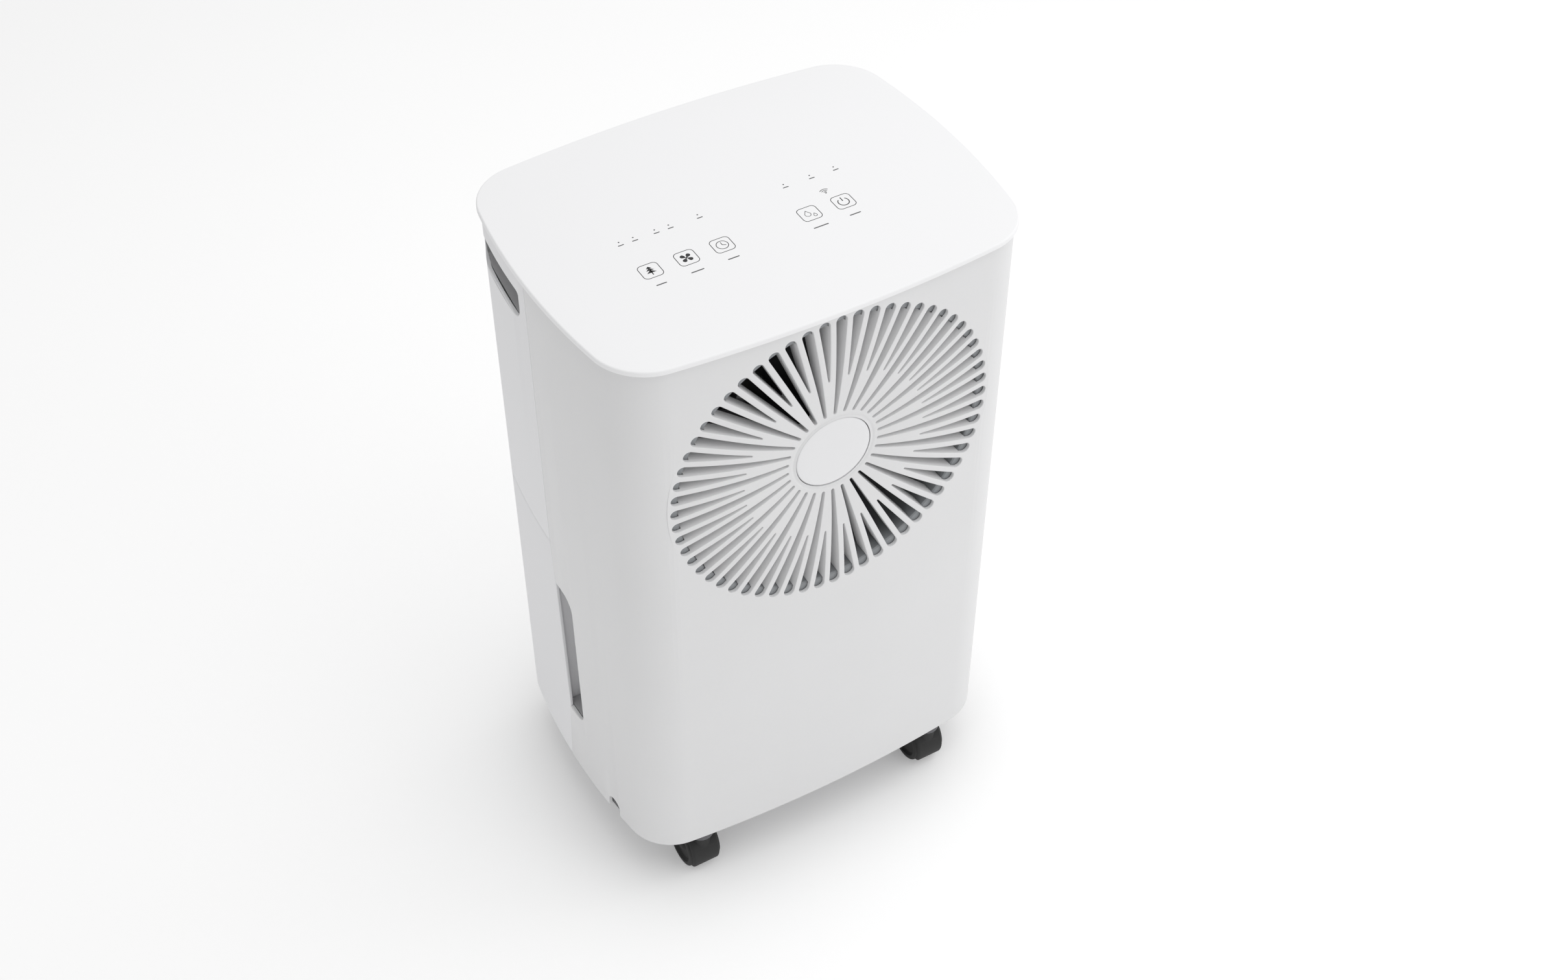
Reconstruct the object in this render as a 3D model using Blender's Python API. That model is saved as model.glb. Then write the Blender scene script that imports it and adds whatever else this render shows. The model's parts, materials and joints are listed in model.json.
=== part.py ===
"""Portable dehumidifier on twin-wheel castors, as an assembly of named sub-parts.

Metres, +Z up. The front looks towards -Y, X is the width, and the origin lies on the floor under
the middle of the casing. Each sub-part is one object, and a moving one turns or slides about the
origin of its parent empty.
"""

import math

import bmesh
import bpy
from mathutils import Matrix, Vector

# Plan of the casing: four large arcs with round corners, measured at the lid's edge.
HALF_WIDTH = 0.1727
HALF_DEPTH = 0.1316
FRONT_RADIUS = 1.203
SIDE_RADIUS = 0.562
CORNER_RADIUS = 0.0433
LID_OVERHANG = 0.0027
WALL = 0.0028
CLEAR = 0.0005

# Castors: twin wheels under a hood, with the axle behind the stem.
CASTOR_X = HALF_WIDTH - 0.0617
CASTOR_FRONT_Y = 0.0231 - HALF_DEPTH
CASTOR_BACK_Y = HALF_DEPTH - 0.0416
CASTOR_TRAIL = 0.012
WHEEL_RADIUS = 0.020
WHEEL_WIDTH = 0.0106
HOOD_RADIUS = WHEEL_RADIUS + 0.0025
HOOD_HALF_WIDTH = 0.0127
HOOD_WALL = 0.0014
WEB_HALF_WIDTH = 0.0032
STEM_RADIUS = 0.004
COLLAR_RADIUS = 0.008
AXLE_RADIUS = 0.002
SOCKET_RADIUS = 0.011
SOCKET_BOTTOM = WHEEL_RADIUS + HOOD_RADIUS + 0.0025

# Heights: the casing stands over the castors, and its features share its height out.
BASE_Z = SOCKET_BOTTOM + 0.011
SHELL_HEIGHT = 0.5145
LID_GAP = 0.001
LID_THICKNESS = 0.0045
LID_EDGE = 0.0012
SKIRT_DEPTH = 0.008
TANK_SEAM_HEIGHT = 0.5053 * SHELL_HEIGHT
SEAM_Y = 0.009
SEAM_GAP = 0.0005

# Air outlet in the front.
GRILLE_Z = SHELL_HEIGHT - 0.1325
GRILLE_RADIUS = 0.7597 * HALF_WIDTH
SLOT_PAIRS = 30
SLOT_WIDTH = 0.0087
LONG_SLOT_INNER = 0.037
SHORT_SLOT_INNER = 0.074
LONG_SLOT_TIP = 0.0025
SHORT_SLOT_TIP = 0.0014
RIB_DEPTH = 0.0125
DISH_DEPTH = 0.0058
DISH_MIDDLE_DEPTH = 0.0015
DUCT_RADIUS = GRILLE_RADIUS - 0.007
DUCT_WALL = 0.0028
DUCT_LENGTH = 0.050
HUB_RADIUS = 0.0306
HUB_SEAT_DEPTH = 0.0095
HUB_THICKNESS = 0.0028

# Fan and motor, along Y.
FAN_RADIUS = DUCT_RADIUS - 0.0102
FAN_HUB_RADIUS = 0.034
FAN_DEPTH = 0.032
FAN_BLADES = 7
SHAFT_RADIUS = 0.003
MOTOR_RADIUS = 0.038
MOTOR_LENGTH = 0.039
PLATE = 0.003

# Water tank and the shelf above it.
TANK_WALL = 0.0026
TANK_LID_DROP = 0.0072
TANK_LID_THICKNESS = 0.0025
INLET_WIDTH = 0.070
INLET_LENGTH = 0.034
SPOUT_Y = 0.045
SPOUT_RADIUS = 0.006
TRAY_DEPTH = 0.016
TRAY_FLOOR = 0.002
TRAY_WALL = 0.0016
PAD_HEIGHT = 0.004
FLOAT_X = HALF_WIDTH - 0.0727
FLOAT_Y = 0.040
FLOAT_WIDTH = 0.024
FLOAT_ARM = 0.040
FLOAT_SIZE = 0.024
FLOAT_DROOP = math.radians(20)
PIN_RADIUS = 0.0015

# Coils.
COIL_WIDTH = 2 * HALF_WIDTH - 0.1094
COIL_HEIGHT = SHELL_HEIGHT - TANK_SEAM_HEIGHT - 0.0695
COIL_DEPTH = 0.020
COIL_FINS = 30
COIL_GAP = 0.008
PIPE_RADIUS = 0.0032

# Hand recesses in the sides. The tank's own lip closes the back of the finger recess.
GRIP_FRONT = -0.0203
GRIP_LEAN = 0.0026
GRIP_LOW = 0.0705
GRIP_HEIGHT = TANK_SEAM_HEIGHT - 0.1145
GRIP_TOP_CORNER = 0.014
GRIP_LOW_CORNER = 0.010
GRIP_DEPTH = 0.018
LIP_FRONT = 0.004
LIP_LEAN = 0.0048
HANDLE_FRONT = 0.1596 * HALF_DEPTH
HANDLE_LENGTH = 0.6155 * HALF_DEPTH
HANDLE_LOW = SHELL_HEIGHT - 0.0445
HANDLE_HEIGHT = 0.0262
HANDLE_DROP = 0.0033
HANDLE_LOW_CORNER = 0.0125
HANDLE_TOP_CORNER = 0.0025
HANDLE_BACK_CORNER = 0.009
HANDLE_DEPTH = 0.024
CUP_WALL = 0.002
NOTCH_Y = -0.0627
NOTCH_WIDTH = 0.0156

# Air inlet in the back.
PLUG_RADIUS = 0.006
PLUG_Z = TANK_SEAM_HEIGHT + 0.015
INTAKE_WIDTH = 2 * HALF_WIDTH - 0.1014
INTAKE_LOW = PLUG_Z + 0.014
INTAKE_HEIGHT = SHELL_HEIGHT - INTAKE_LOW - 0.0655
INTAKE_ROWS = 11
INTAKE_COLUMNS = 2
INTAKE_BORDER = 0.012
LOUVRE_BAR = 0.003
FILTER_THICKNESS = 0.004
FILTER_GAP = 0.004

# Compressor.
COMPRESSOR_RADIUS = 0.38 * HALF_DEPTH
COMPRESSOR_HEIGHT = TANK_SEAM_HEIGHT - 0.102
COMPRESSOR_X = -0.040
COMPRESSOR_Y = -0.44 * HALF_DEPTH
FOOT_REACH = 0.004
FOOT_RADIUS = 0.008
GROMMET_RADIUS = 0.009
GROMMET_HEIGHT = 0.008
PAN_THICKNESS = 0.005

# How far a cutter runs past what it cuts.
PAST = 0.01

SHELL_TOP = BASE_Z + SHELL_HEIGHT
LID_BOTTOM = SHELL_TOP + LID_GAP
LID_TOP = LID_BOTTOM + LID_THICKNESS
SEAM_Z = BASE_Z + TANK_SEAM_HEIGHT
GRILLE_CENTRE = BASE_Z + GRILLE_Z
INSIDE = LID_OVERHANG + WALL
FRONT_Y = -HALF_DEPTH + LID_OVERHANG
PAN_BOTTOM = BASE_Z + 0.001
PAN_TOP = PAN_BOTTOM + PAN_THICKNESS
SHELF_BOTTOM = SEAM_Z + 0.002
SHELF_TOP = SHELF_BOTTOM + PLATE
RIB_BACK = FRONT_Y + RIB_DEPTH + WALL + 0.001
DUCT_BACK = RIB_BACK + DUCT_LENGTH
BULKHEAD_BACK = DUCT_BACK + CLEAR + PLATE
BRACKET_BACK = BULKHEAD_BACK + CLEAR + PLATE
SHELF_FRONT = BRACKET_BACK + 0.001
MOTOR_BACK = BRACKET_BACK + CLEAR + MOTOR_LENGTH
FAN_FRONT = RIB_BACK + 0.010
TANK_FLOOR = PAN_TOP + CLEAR
TANK_TOP = SEAM_Z - SEAM_GAP / 2
TANK_FRONT = SEAM_Y + SEAM_GAP / 2
TRAY_BOTTOM = SHELF_TOP + CLEAR
TRAY_RIM = TRAY_BOTTOM + TRAY_DEPTH
COIL_BOTTOM = TRAY_BOTTOM + TRAY_FLOOR + PAD_HEIGHT + CLEAR
CONDENSER_Y = 0.014
EVAPORATOR_Y = CONDENSER_Y + COIL_DEPTH + COIL_GAP
PAN_INSET = INSIDE + CLEAR
BACK_Y = HALF_DEPTH - LID_OVERHANG

PALETTE = {
    "casing_white": ((0.86, 0.86, 0.87), 0.45, 0.0),
    "lid_white": ((0.93, 0.93, 0.94), 0.30, 0.0),
    "recess_grey": ((0.45, 0.45, 0.46), 0.55, 0.0),
    "inner_grey": ((0.30, 0.31, 0.32), 0.60, 0.0),
    "base_grey": ((0.12, 0.12, 0.13), 0.60, 0.0),
    "castor_black": ((0.02, 0.02, 0.02), 0.50, 0.0),
    "fan_black": ((0.04, 0.04, 0.045), 0.50, 0.0),
    "steel": ((0.62, 0.62, 0.63), 0.35, 1.0),
    "copper": ((0.80, 0.42, 0.25), 0.30, 1.0),
    "fin_aluminium": ((0.78, 0.79, 0.80), 0.35, 1.0),
    "compressor_black": ((0.03, 0.03, 0.03), 0.35, 0.0),
    "rubber": ((0.03, 0.03, 0.03), 0.80, 0.0),
    "board_green": ((0.05, 0.22, 0.10), 0.50, 0.0),
    "float_blue": ((0.25, 0.45, 0.70), 0.50, 0.0),
    "filter_grey": ((0.40, 0.42, 0.44), 0.80, 0.0),
    "lamp_glass": ((0.80, 0.82, 0.90), 0.10, 0.0),
}


def clear_scene():
    """Removes every object of the scene."""
    for thing in list(bpy.data.objects):
        bpy.data.objects.remove(thing)


def material(name):
    """The palette's material of this name, made once."""
    found = bpy.data.materials.get(name)
    if found:
        return found
    colour, roughness, metallic = PALETTE[name]
    made = bpy.data.materials.new(name)
    made.use_nodes = True
    shader = made.node_tree.nodes["Principled BSDF"]
    shader.inputs["Base Color"].default_value = (*colour, 1)
    shader.inputs["Roughness"].default_value = roughness
    shader.inputs["Metallic"].default_value = metallic
    made.diffuse_color = (*colour, 1)
    return made


def place(mesh, name, finish=None):
    """An object of this mesh in the scene, smooth where its faces meet at under 35 degrees."""
    mesh.shade_smooth()
    mesh.set_sharp_from_angle(angle=math.radians(35))
    made = bpy.data.objects.new(name, mesh)
    bpy.context.scene.collection.objects.link(made)
    if finish:
        mesh.materials.append(material(finish))
    return made


def solid(name, points, faces, finish=None):
    """A closed solid of these points and faces, with its faces turned outwards."""
    shape = bmesh.new()
    corners = [shape.verts.new(point) for point in points]
    for face in faces:
        shape.faces.new([corners[i] for i in face])
    bmesh.ops.recalc_face_normals(shape, faces=shape.faces)
    mesh = bpy.data.meshes.new(name)
    shape.to_mesh(mesh)
    shape.free()
    return place(mesh, name, finish)


def arc(centre, radius, first, last, steps):
    """Points of an arc, from one angle to another, with both ends."""
    turns = [first + (last - first) * i / steps for i in range(steps + 1)]
    return [(centre[0] + radius * math.cos(t), centre[1] + radius * math.sin(t)) for t in turns]


def corner_centre():
    """Centre of the front right corner's arc, where it touches the front arc and the side arc."""
    front = Vector((0, FRONT_RADIUS - HALF_DEPTH))
    side = Vector((HALF_WIDTH - SIDE_RADIUS, 0))
    to_front = FRONT_RADIUS - CORNER_RADIUS
    to_side = SIDE_RADIUS - CORNER_RADIUS
    span = side - front
    along = (span.length_squared + to_front**2 - to_side**2) / (2 * span.length)
    across = math.sqrt(to_front**2 - along**2)
    way = span.normalized()
    return front + way * along + Vector((-way.y, way.x)) * across


def quarter(inset, side_y):
    """Plan points of the front right quarter, from the side arc at side_y to the front's middle."""
    corner = corner_centre()
    front = Vector((0, FRONT_RADIUS - HALF_DEPTH))
    side = Vector((HALF_WIDTH - SIDE_RADIUS, 0))
    side_turn = math.atan2(corner.y, corner.x - side.x)
    front_turn = math.atan2(corner.y - front.y, corner.x)
    start = math.asin(side_y / (SIDE_RADIUS - inset))
    points = arc(side, SIDE_RADIUS - inset, start, side_turn, 4)
    points += arc(corner, CORNER_RADIUS - inset, side_turn, front_turn, 6)[1:]
    points += arc(front, FRONT_RADIUS - inset, front_turn, -math.pi / 2, 5)[1:]
    return points


def half_plan(inset, side_y):
    """Plan points of the front half, from the right side round the front to the left side."""
    right = quarter(inset, side_y)
    return right + [(-x, y) for x, y in reversed(right[:-1])]


def rear_plan(inset, side_y):
    """Plan points of the back half behind side_y, from the left side round to the right side."""
    return [(-x, -y) for x, y in half_plan(inset, -side_y)]


def full_plan(inset):
    """The whole plan at this inset, as a closed loop."""
    return half_plan(inset, 0)[:-1] + rear_plan(inset, 0)[:-1]


def side_x(y, inset):
    """X of the right side's arc at y."""
    return HALF_WIDTH - SIDE_RADIUS + math.sqrt((SIDE_RADIUS - inset) ** 2 - y**2)


def sag(x, inset=LID_OVERHANG):
    """How far the front's arc has fallen back at x from its middle."""
    radius = FRONT_RADIUS - inset
    return radius - math.sqrt(radius**2 - x**2)


def loft(name, loops, finish=None):
    """A solid through loops of equal count, capped at the first and the last."""
    count = len(loops[0])
    points = [point for loop in loops for point in loop]
    faces = [list(range(count)), list(range(len(points) - count, len(points)))]
    for ring in range(len(loops) - 1):
        low = ring * count
        for i in range(count):
            j = (i + 1) % count
            faces.append((low + i, low + j, low + count + j, low + count + i))
    return solid(name, points, faces, finish)


def level(plan, z):
    """The plan's points at one height."""
    return [(x, y, z) for x, y in plan]


def wall(name, outer, inner, low, high, finish=None):
    """An open wall between two runs of plan points, from one height to another."""
    count = len(outer)
    runs = (level(outer, low), level(inner, low), level(inner, high), level(outer, high))
    points = [point for run in runs for point in run]
    faces = [tuple(run * count for run in range(4)), tuple(run * count + count - 1 for run in range(4))]
    for run in range(4):
        a, b = run * count, (run + 1) % 4 * count
        faces += [(a + i, a + i + 1, b + i + 1, b + i) for i in range(count - 1)]
    return solid(name, points, faces, finish)


def turned(axis):
    """The turn that takes +Z to an axis, with the plane's first direction kept sensible."""
    turns = {
        "X": Matrix(((0, 0, 1), (1, 0, 0), (0, 1, 0))),
        "Y": Matrix(((1, 0, 0), (0, 0, 1), (0, 1, 0))),
        "Z": Matrix.Identity(3),
    }
    return turns[axis]


def extrusion(name, outline, low, high, axis="Z", finish=None):
    """An outline pushed along an axis: of (y, z) along X, of (x, z) along Y, of (x, y) along Z."""
    turn = turned(axis)
    loops = [[turn @ Vector((a, b, end)) for a, b in outline] for end in (low, high)]
    return loft(name, loops, finish)


def lathe(name, profile, at, axis="Z", steps=24, phase=0.0, ring=False, finish=None):
    """A turned solid from (radius, height) points. A ring's profile closes on itself."""
    turn = turned(axis)
    rows, points = [], []
    for radius, height in profile:
        spokes = steps if radius > 0 else 1
        row = []
        for i in range(spokes):
            angle = phase + 2 * math.pi * i / steps
            local = Vector((radius * math.cos(angle), radius * math.sin(angle), height))
            row.append(len(points))
            points.append(turn @ local + Vector(at))
        rows.append(row)
    pairs = list(zip(rows, rows[1:] + rows[:1] if ring else rows[1:]))
    faces = []
    for first, second in pairs:
        for i in range(steps):
            j = (i + 1) % steps
            corners = [first[i % len(first)], first[j % len(first)]]
            corners += [second[j % len(second)], second[i % len(second)]]
            face = list(dict.fromkeys(corners))
            if len(face) > 2:
                faces.append(face)
    return solid(name, points, faces, finish)


def rod(name, radius, low, high, at, axis="Z", steps=16, finish=None, phase=0.0):
    """A plain cylinder along an axis, between two positions on it."""
    profile = [(0, high), (radius, high), (radius, low), (0, low)]
    return lathe(name, profile, at, axis, steps, phase, finish=finish)


def block(name, low, high, finish=None):
    """A box between two corners."""
    return extrusion(name, rectangle(low, high), low[2], high[2], "Z", finish)


def tube(name, route, radius, finish):
    """A bent tube along a route, with round bends and flat ends."""
    curve = bpy.data.curves.new(name, "CURVE")
    curve.dimensions = "3D"
    curve.bevel_depth = radius
    curve.bevel_resolution = 1
    curve.use_fill_caps = True
    points = bent(route, 2.8 * radius)
    spline = curve.splines.new("POLY")
    spline.points.add(len(points) - 1)
    for corner, point in zip(spline.points, points):
        corner.co = (*point, 1)
    curve.materials.append(material(finish))
    made = bpy.data.objects.new(name, curve)
    bpy.context.scene.collection.objects.link(made)
    return made


def bent(route, radius, steps=3):
    """The route's points with each inner corner replaced by a bend of this radius."""
    route = [Vector(point) for point in route]
    points = [route[0]]
    for before, corner, after in zip(route, route[1:], route[2:]):
        away = (before - corner).normalized()
        onward = (after - corner).normalized()
        start, end = corner + away * radius, corner + onward * radius
        for i in range(steps + 1):
            t = i / steps
            points.append((1 - t) ** 2 * start + 2 * t * (1 - t) * corner + t**2 * end)
    return points + [route[-1]]


def combine(target, other, operation):
    """Adds a Boolean of another object to the target, and hides that object."""
    modifier = target.modifiers.new(f"{operation.lower()} {other.name}", "BOOLEAN")
    modifier.operation = operation
    modifier.solver = "EXACT"
    modifier.object = other
    other.hide_render = True
    other.display_type = "WIRE"
    other.hide_set(True)
    return target


def carve(target, *cutters):
    """Cuts each cutter from the target."""
    for cutter in cutters:
        combine(target, cutter, "DIFFERENCE")
    return target


def fuse(target, *others):
    """Joins each other solid to the target."""
    for other in others:
        combine(target, other, "UNION")
    return target


def evaluated_mesh(thing, name):
    """A mesh of the object with its modifiers applied."""
    bpy.context.view_layer.update()
    graph = bpy.context.evaluated_depsgraph_get()
    mesh = bpy.data.meshes.new_from_object(thing.evaluated_get(graph))
    mesh.name = name
    return mesh


def pivot(name, at, parent=None):
    """An empty on a joint's axis, which its moving pieces hang from."""
    made = bpy.data.objects.new(name, None)
    made.empty_display_size = 0.02
    bpy.context.scene.collection.objects.link(made)
    made.location = Vector(at) - (parent.matrix_world.translation if parent else Vector())
    made.parent = parent
    bpy.context.view_layer.update()
    return made


def hang(thing, empty):
    """Parents a piece to an empty without moving it."""
    thing.parent = empty
    thing.matrix_parent_inverse = empty.matrix_world.inverted()
    return thing


def rectangle(low, high):
    """A rectangle's four corners, from the lower left anticlockwise."""
    return [(low[0], low[1]), (high[0], low[1]), (high[0], high[1]), (low[0], high[1])]


def rounded(corners, radii, steps=4):
    """A convex outline with a radius at each corner, for corners in anticlockwise order."""
    points = []
    for i, (corner, radius) in enumerate(zip(corners, radii)):
        if not radius:
            points.append(corner)
            continue
        here = Vector(corner)
        before = (Vector(corners[i - 1]) - here).normalized()
        after = (Vector(corners[(i + 1) % len(corners)]) - here).normalized()
        half = before.angle(after) / 2
        centre = here + (before + after).normalized() * radius / math.sin(half)
        start = here + before * radius / math.tan(half) - centre
        first = math.atan2(start.y, start.x)
        points += arc(centre, radius, first, first + math.pi - 2 * half, steps)
    return points


def slot_outline(turn, inner, tip):
    """One slot of the outlet in (x, z): a tapered run that ends in a half circle outside."""
    half = SLOT_WIDTH / 2
    centre = GRILLE_RADIUS - half
    end = [(centre + half * math.cos(a), half * math.sin(a)) for a in half_turn(4)]
    points = [(inner, -tip / 2)] + end + [(inner, tip / 2)]
    spin = Matrix.Rotation(turn, 2)
    return [spin @ Vector(point) + Vector((0, GRILLE_CENTRE)) for point in points]


def half_turn(steps):
    """Angles from a quarter turn below to a quarter turn above."""
    return [math.pi * (i / steps - 0.5) for i in range(steps + 1)]


def slot_cutter():
    """All slots of the outlet as one cutter."""
    points, faces = [], []
    front, back = FRONT_Y - PAST, RIB_BACK + PAST
    for k in range(2 * SLOT_PAIRS):
        long = k % 2 == 0
        inner = LONG_SLOT_INNER if long else SHORT_SLOT_INNER
        tip = LONG_SLOT_TIP if long else SHORT_SLOT_TIP
        outline = slot_outline(math.pi / 2 + k * math.pi / SLOT_PAIRS, inner, tip)
        base, count = len(points), len(outline)
        points += [(x, front, z) for x, z in outline]
        points += [(x, back, z) for x, z in outline]
        faces.append([base + i for i in range(count)])
        faces.append([base + count + i for i in range(count)])
        for i in range(count):
            j = (i + 1) % count
            faces.append((base + i, base + j, base + count + j, base + count + i))
    return solid("slot_cutter", points, faces)


def followed(name, profile, steps, finish=None):
    """A ring about the outlet's axis whose points follow the front's curve where they say so.

    The profile holds (radius, depth behind the front's middle, whether it follows the curve).
    """
    made = lathe(name, [(r, d) for r, d, _ in profile], (0, FRONT_Y, GRILLE_CENTRE), "Y",
                 steps, math.pi / steps, ring=profile[0][0] > 0, finish=finish)
    flags = []
    for radius, _, follows in profile:
        flags += [follows] * (steps if radius > 0 else 1)
    for vertex, follows in zip(made.data.vertices, flags):
        if follows:
            vertex.co.y += sag(vertex.co.x)
    return made


def front_shell():
    """Front of the casing with its two sides, the dished outlet and its ribs."""
    edge = SEAM_Y - SEAM_GAP / 2
    shell = wall("front_shell", half_plan(LID_OVERHANG, edge), half_plan(INSIDE, edge),
                 BASE_Z, SHELL_TOP, "casing_white")
    ribs = followed("rib_disc", [
        (0, WALL / 2, True), (DUCT_RADIUS - 0.0007, WALL / 2, True),
        (DUCT_RADIUS - 0.0007, RIB_BACK - FRONT_Y, False), (0, RIB_BACK - FRONT_Y, False)], 30)
    dish = followed("dish_cutter", [
        (0, -PAST, True), (GRILLE_RADIUS + 0.002, -PAST, True), (GRILLE_RADIUS + 0.002, -0.0001, True),
        (SHORT_SLOT_INNER, DISH_MIDDLE_DEPTH, True), (LONG_SLOT_INNER - 0.001, DISH_DEPTH, True),
        (HUB_RADIUS + CLEAR, DISH_DEPTH + 0.0005, True), (HUB_RADIUS + CLEAR, HUB_SEAT_DEPTH, False),
        (0, HUB_SEAT_DEPTH, False)], 30)
    fuse(shell, ribs)
    carve(shell, dish, slot_cutter())
    reach = HALF_WIDTH + PAST
    carve(shell, extrusion("grip_opening", grip_outline(), -reach, reach, "X"))
    carve(shell, extrusion("lip_opening", lip_outline(SEAM_GAP), -reach, reach, "X"))
    notch = arc((NOTCH_Y, BASE_Z + NOTCH_WIDTH / 2), NOTCH_WIDTH / 2, 0, math.pi, 6)
    notch += [(NOTCH_Y - NOTCH_WIDTH / 2, BASE_Z - PAST), (NOTCH_Y + NOTCH_WIDTH / 2, BASE_Z - PAST)]
    inner = side_x(NOTCH_Y, INSIDE) - PAST
    carve(shell, extrusion("notch_cutter", notch, -reach, -inner, "X"))
    return shell


def hub_cap():
    """Slightly domed disc that closes the middle of the outlet."""
    back = HUB_SEAT_DEPTH - CLEAR
    front = back - HUB_THICKNESS
    profile = [(0, front - 0.0006), (HUB_RADIUS * 0.6, front - 0.0004), (HUB_RADIUS - 0.0012, front),
               (HUB_RADIUS, front + 0.0008), (HUB_RADIUS, back), (0, back)]
    return lathe("hub_cap", profile, (0, FRONT_Y, GRILLE_CENTRE), "Y", 30, math.pi / 30,
                 finish="casing_white")


def fan_duct():
    """Round duct round the fan, with a flange that shows as a ledge at the slots' outer ends."""
    outside = DUCT_RADIUS + DUCT_WALL
    flange = GRILLE_RADIUS + 0.0008
    front = WALL + CLEAR
    duct = followed("fan_duct", [
        (DUCT_RADIUS, -0.004, False), (flange, -0.004, False), (flange, front + PLATE, True),
        (outside, front + PLATE, True), (outside, DUCT_BACK - FRONT_Y, False),
        (DUCT_RADIUS, DUCT_BACK - FRONT_Y, False)], 48, "inner_grey")
    limit = loft("duct_limit", [level(full_plan(PAN_INSET), z) for z in (BASE_Z, SHELL_TOP + PAST)])
    return combine(duct, limit, "INTERSECT")


def grip_outline():
    """Opening of the finger recess in (y, z), which runs back past the casing's seam."""
    low = BASE_Z + GRIP_LOW
    high = low + GRIP_HEIGHT
    back = SEAM_Y + 0.02
    corners = [(GRIP_FRONT - GRIP_LEAN / 2, low), (back, low), (back, high),
               (GRIP_FRONT + GRIP_LEAN / 2, high)]
    return rounded(corners, (GRIP_LOW_CORNER, 0, 0, GRIP_TOP_CORNER))


def lip_outline(margin):
    """The tank's forward lip in (y, z), with a margin in front of it."""
    low = BASE_Z + GRIP_LOW
    back = TANK_FRONT + 0.001 - margin
    return [(back, BASE_Z - margin), (back, TANK_TOP + margin),
            (LIP_FRONT + LIP_LEAN / 2 - margin, low + GRIP_HEIGHT), (LIP_FRONT - LIP_LEAN / 2 - margin, low)]


def handle_outline():
    """Opening of the carrying recess in (y, z), which drops a little towards the back."""
    front, back = HANDLE_FRONT, HANDLE_FRONT + HANDLE_LENGTH
    low = BASE_Z + HANDLE_LOW
    high = low + HANDLE_HEIGHT
    corners = [(front, low), (back, low - HANDLE_DROP), (back, high - HANDLE_DROP), (front, high)]
    return rounded(corners, (HANDLE_LOW_CORNER, HANDLE_LOW_CORNER, HANDLE_BACK_CORNER, HANDLE_TOP_CORNER))


def recess_cup(name, outline, back, side, depth):
    """A cup behind an opening of the side, whose rim follows the casing's inner face."""
    front = min(y for y, _ in outline)
    low, high = min(z for _, z in outline), max(z for _, z in outline)
    frame = rectangle((front - CUP_WALL, low - CUP_WALL), (back, high + CUP_WALL))
    inner = side * (side_x((front + back) / 2, LID_OVERHANG) - depth)
    outer = side * (HALF_WIDTH + PAST)
    cup = extrusion(name, frame, inner - side * CUP_WALL, outer, "X", "recess_grey")
    limit = loft(f"{name}_limit", [level(full_plan(PAN_INSET), z) for z in (BASE_Z, SHELL_TOP)])
    combine(cup, limit, "INTERSECT")
    return carve(cup, extrusion(f"{name}_cutter", outline, inner, outer, "X"))


def rear_shell():
    """Upper back of the casing, with the air inlet's opening and the carrying recesses."""
    edge = SEAM_Y + SEAM_GAP / 2
    shell = wall("rear_shell", rear_plan(LID_OVERHANG, edge), rear_plan(INSIDE, edge),
                 SEAM_Z + SEAM_GAP / 2, SHELL_TOP, "casing_white")
    low = BASE_Z + INTAKE_LOW
    front, back = behind_back_wall(), BACK_Y + PAST
    carve(shell, block("intake_cutter", (-INTAKE_WIDTH / 2, front, low),
                       (INTAKE_WIDTH / 2, back, low + INTAKE_HEIGHT)))
    reach = HALF_WIDTH + PAST
    carve(shell, extrusion("handle_opening", handle_outline(), -reach, reach, "X"))
    hole = PLUG_RADIUS + CLEAR
    return carve(shell, rod("plug_hole", hole, front, back, (0, 0, BASE_Z + PLUG_Z), "Y"))


def behind_back_wall():
    """Y just in front of the back wall where it has fallen forward most beside the inlet."""
    return BACK_Y - WALL - sag(INTAKE_WIDTH / 2) - 0.002


def back_band(name, outer, inner, half_width, low, high, finish):
    """A curved plate that follows the back wall between two insets."""
    steps = 8
    stations = [half_width * (2 * i / steps - 1) for i in range(steps + 1)]
    rows = [[(x, HALF_DEPTH - inset - sag(x, inset)) for x in stations] for inset in (outer, inner)]
    return wall(name, rows[0], rows[1], low, high, finish)


def intake_grille():
    """Louvred frame in the back, which pulls straight out with the filter behind it."""
    half = INTAKE_WIDTH / 2 - CLEAR
    low = BASE_Z + INTAKE_LOW + CLEAR
    high = low + INTAKE_HEIGHT - 2 * CLEAR
    grille = back_band("intake_grille", LID_OVERHANG + 0.0006, INSIDE, half, low, high, "casing_white")
    cell_width = (2 * half - 2 * INTAKE_BORDER) / INTAKE_COLUMNS
    cell_height = (high - low - 2 * INTAKE_BORDER) / INTAKE_ROWS
    wide, tall = cell_width - 2 * LOUVRE_BAR, cell_height - 5 / 3 * LOUVRE_BAR
    points, faces = [], []
    for column in range(INTAKE_COLUMNS):
        for row in range(INTAKE_ROWS):
            x = -half + INTAKE_BORDER + column * cell_width + LOUVRE_BAR
            z = low + INTAKE_BORDER + row * cell_height + LOUVRE_BAR
            base = len(points)
            for y in (behind_back_wall(), BACK_Y + PAST):
                points += [(x, y, z), (x + wide, y, z), (x + wide, y, z + tall), (x, y, z + tall)]
            faces += [[base + i for i in range(4)], [base + 4 + i for i in range(4)]]
            faces += [[base + i, base + (i + 1) % 4, base + 4 + (i + 1) % 4, base + 4 + i] for i in range(4)]
    return carve(grille, solid("louvre_cutter", points, faces))


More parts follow.
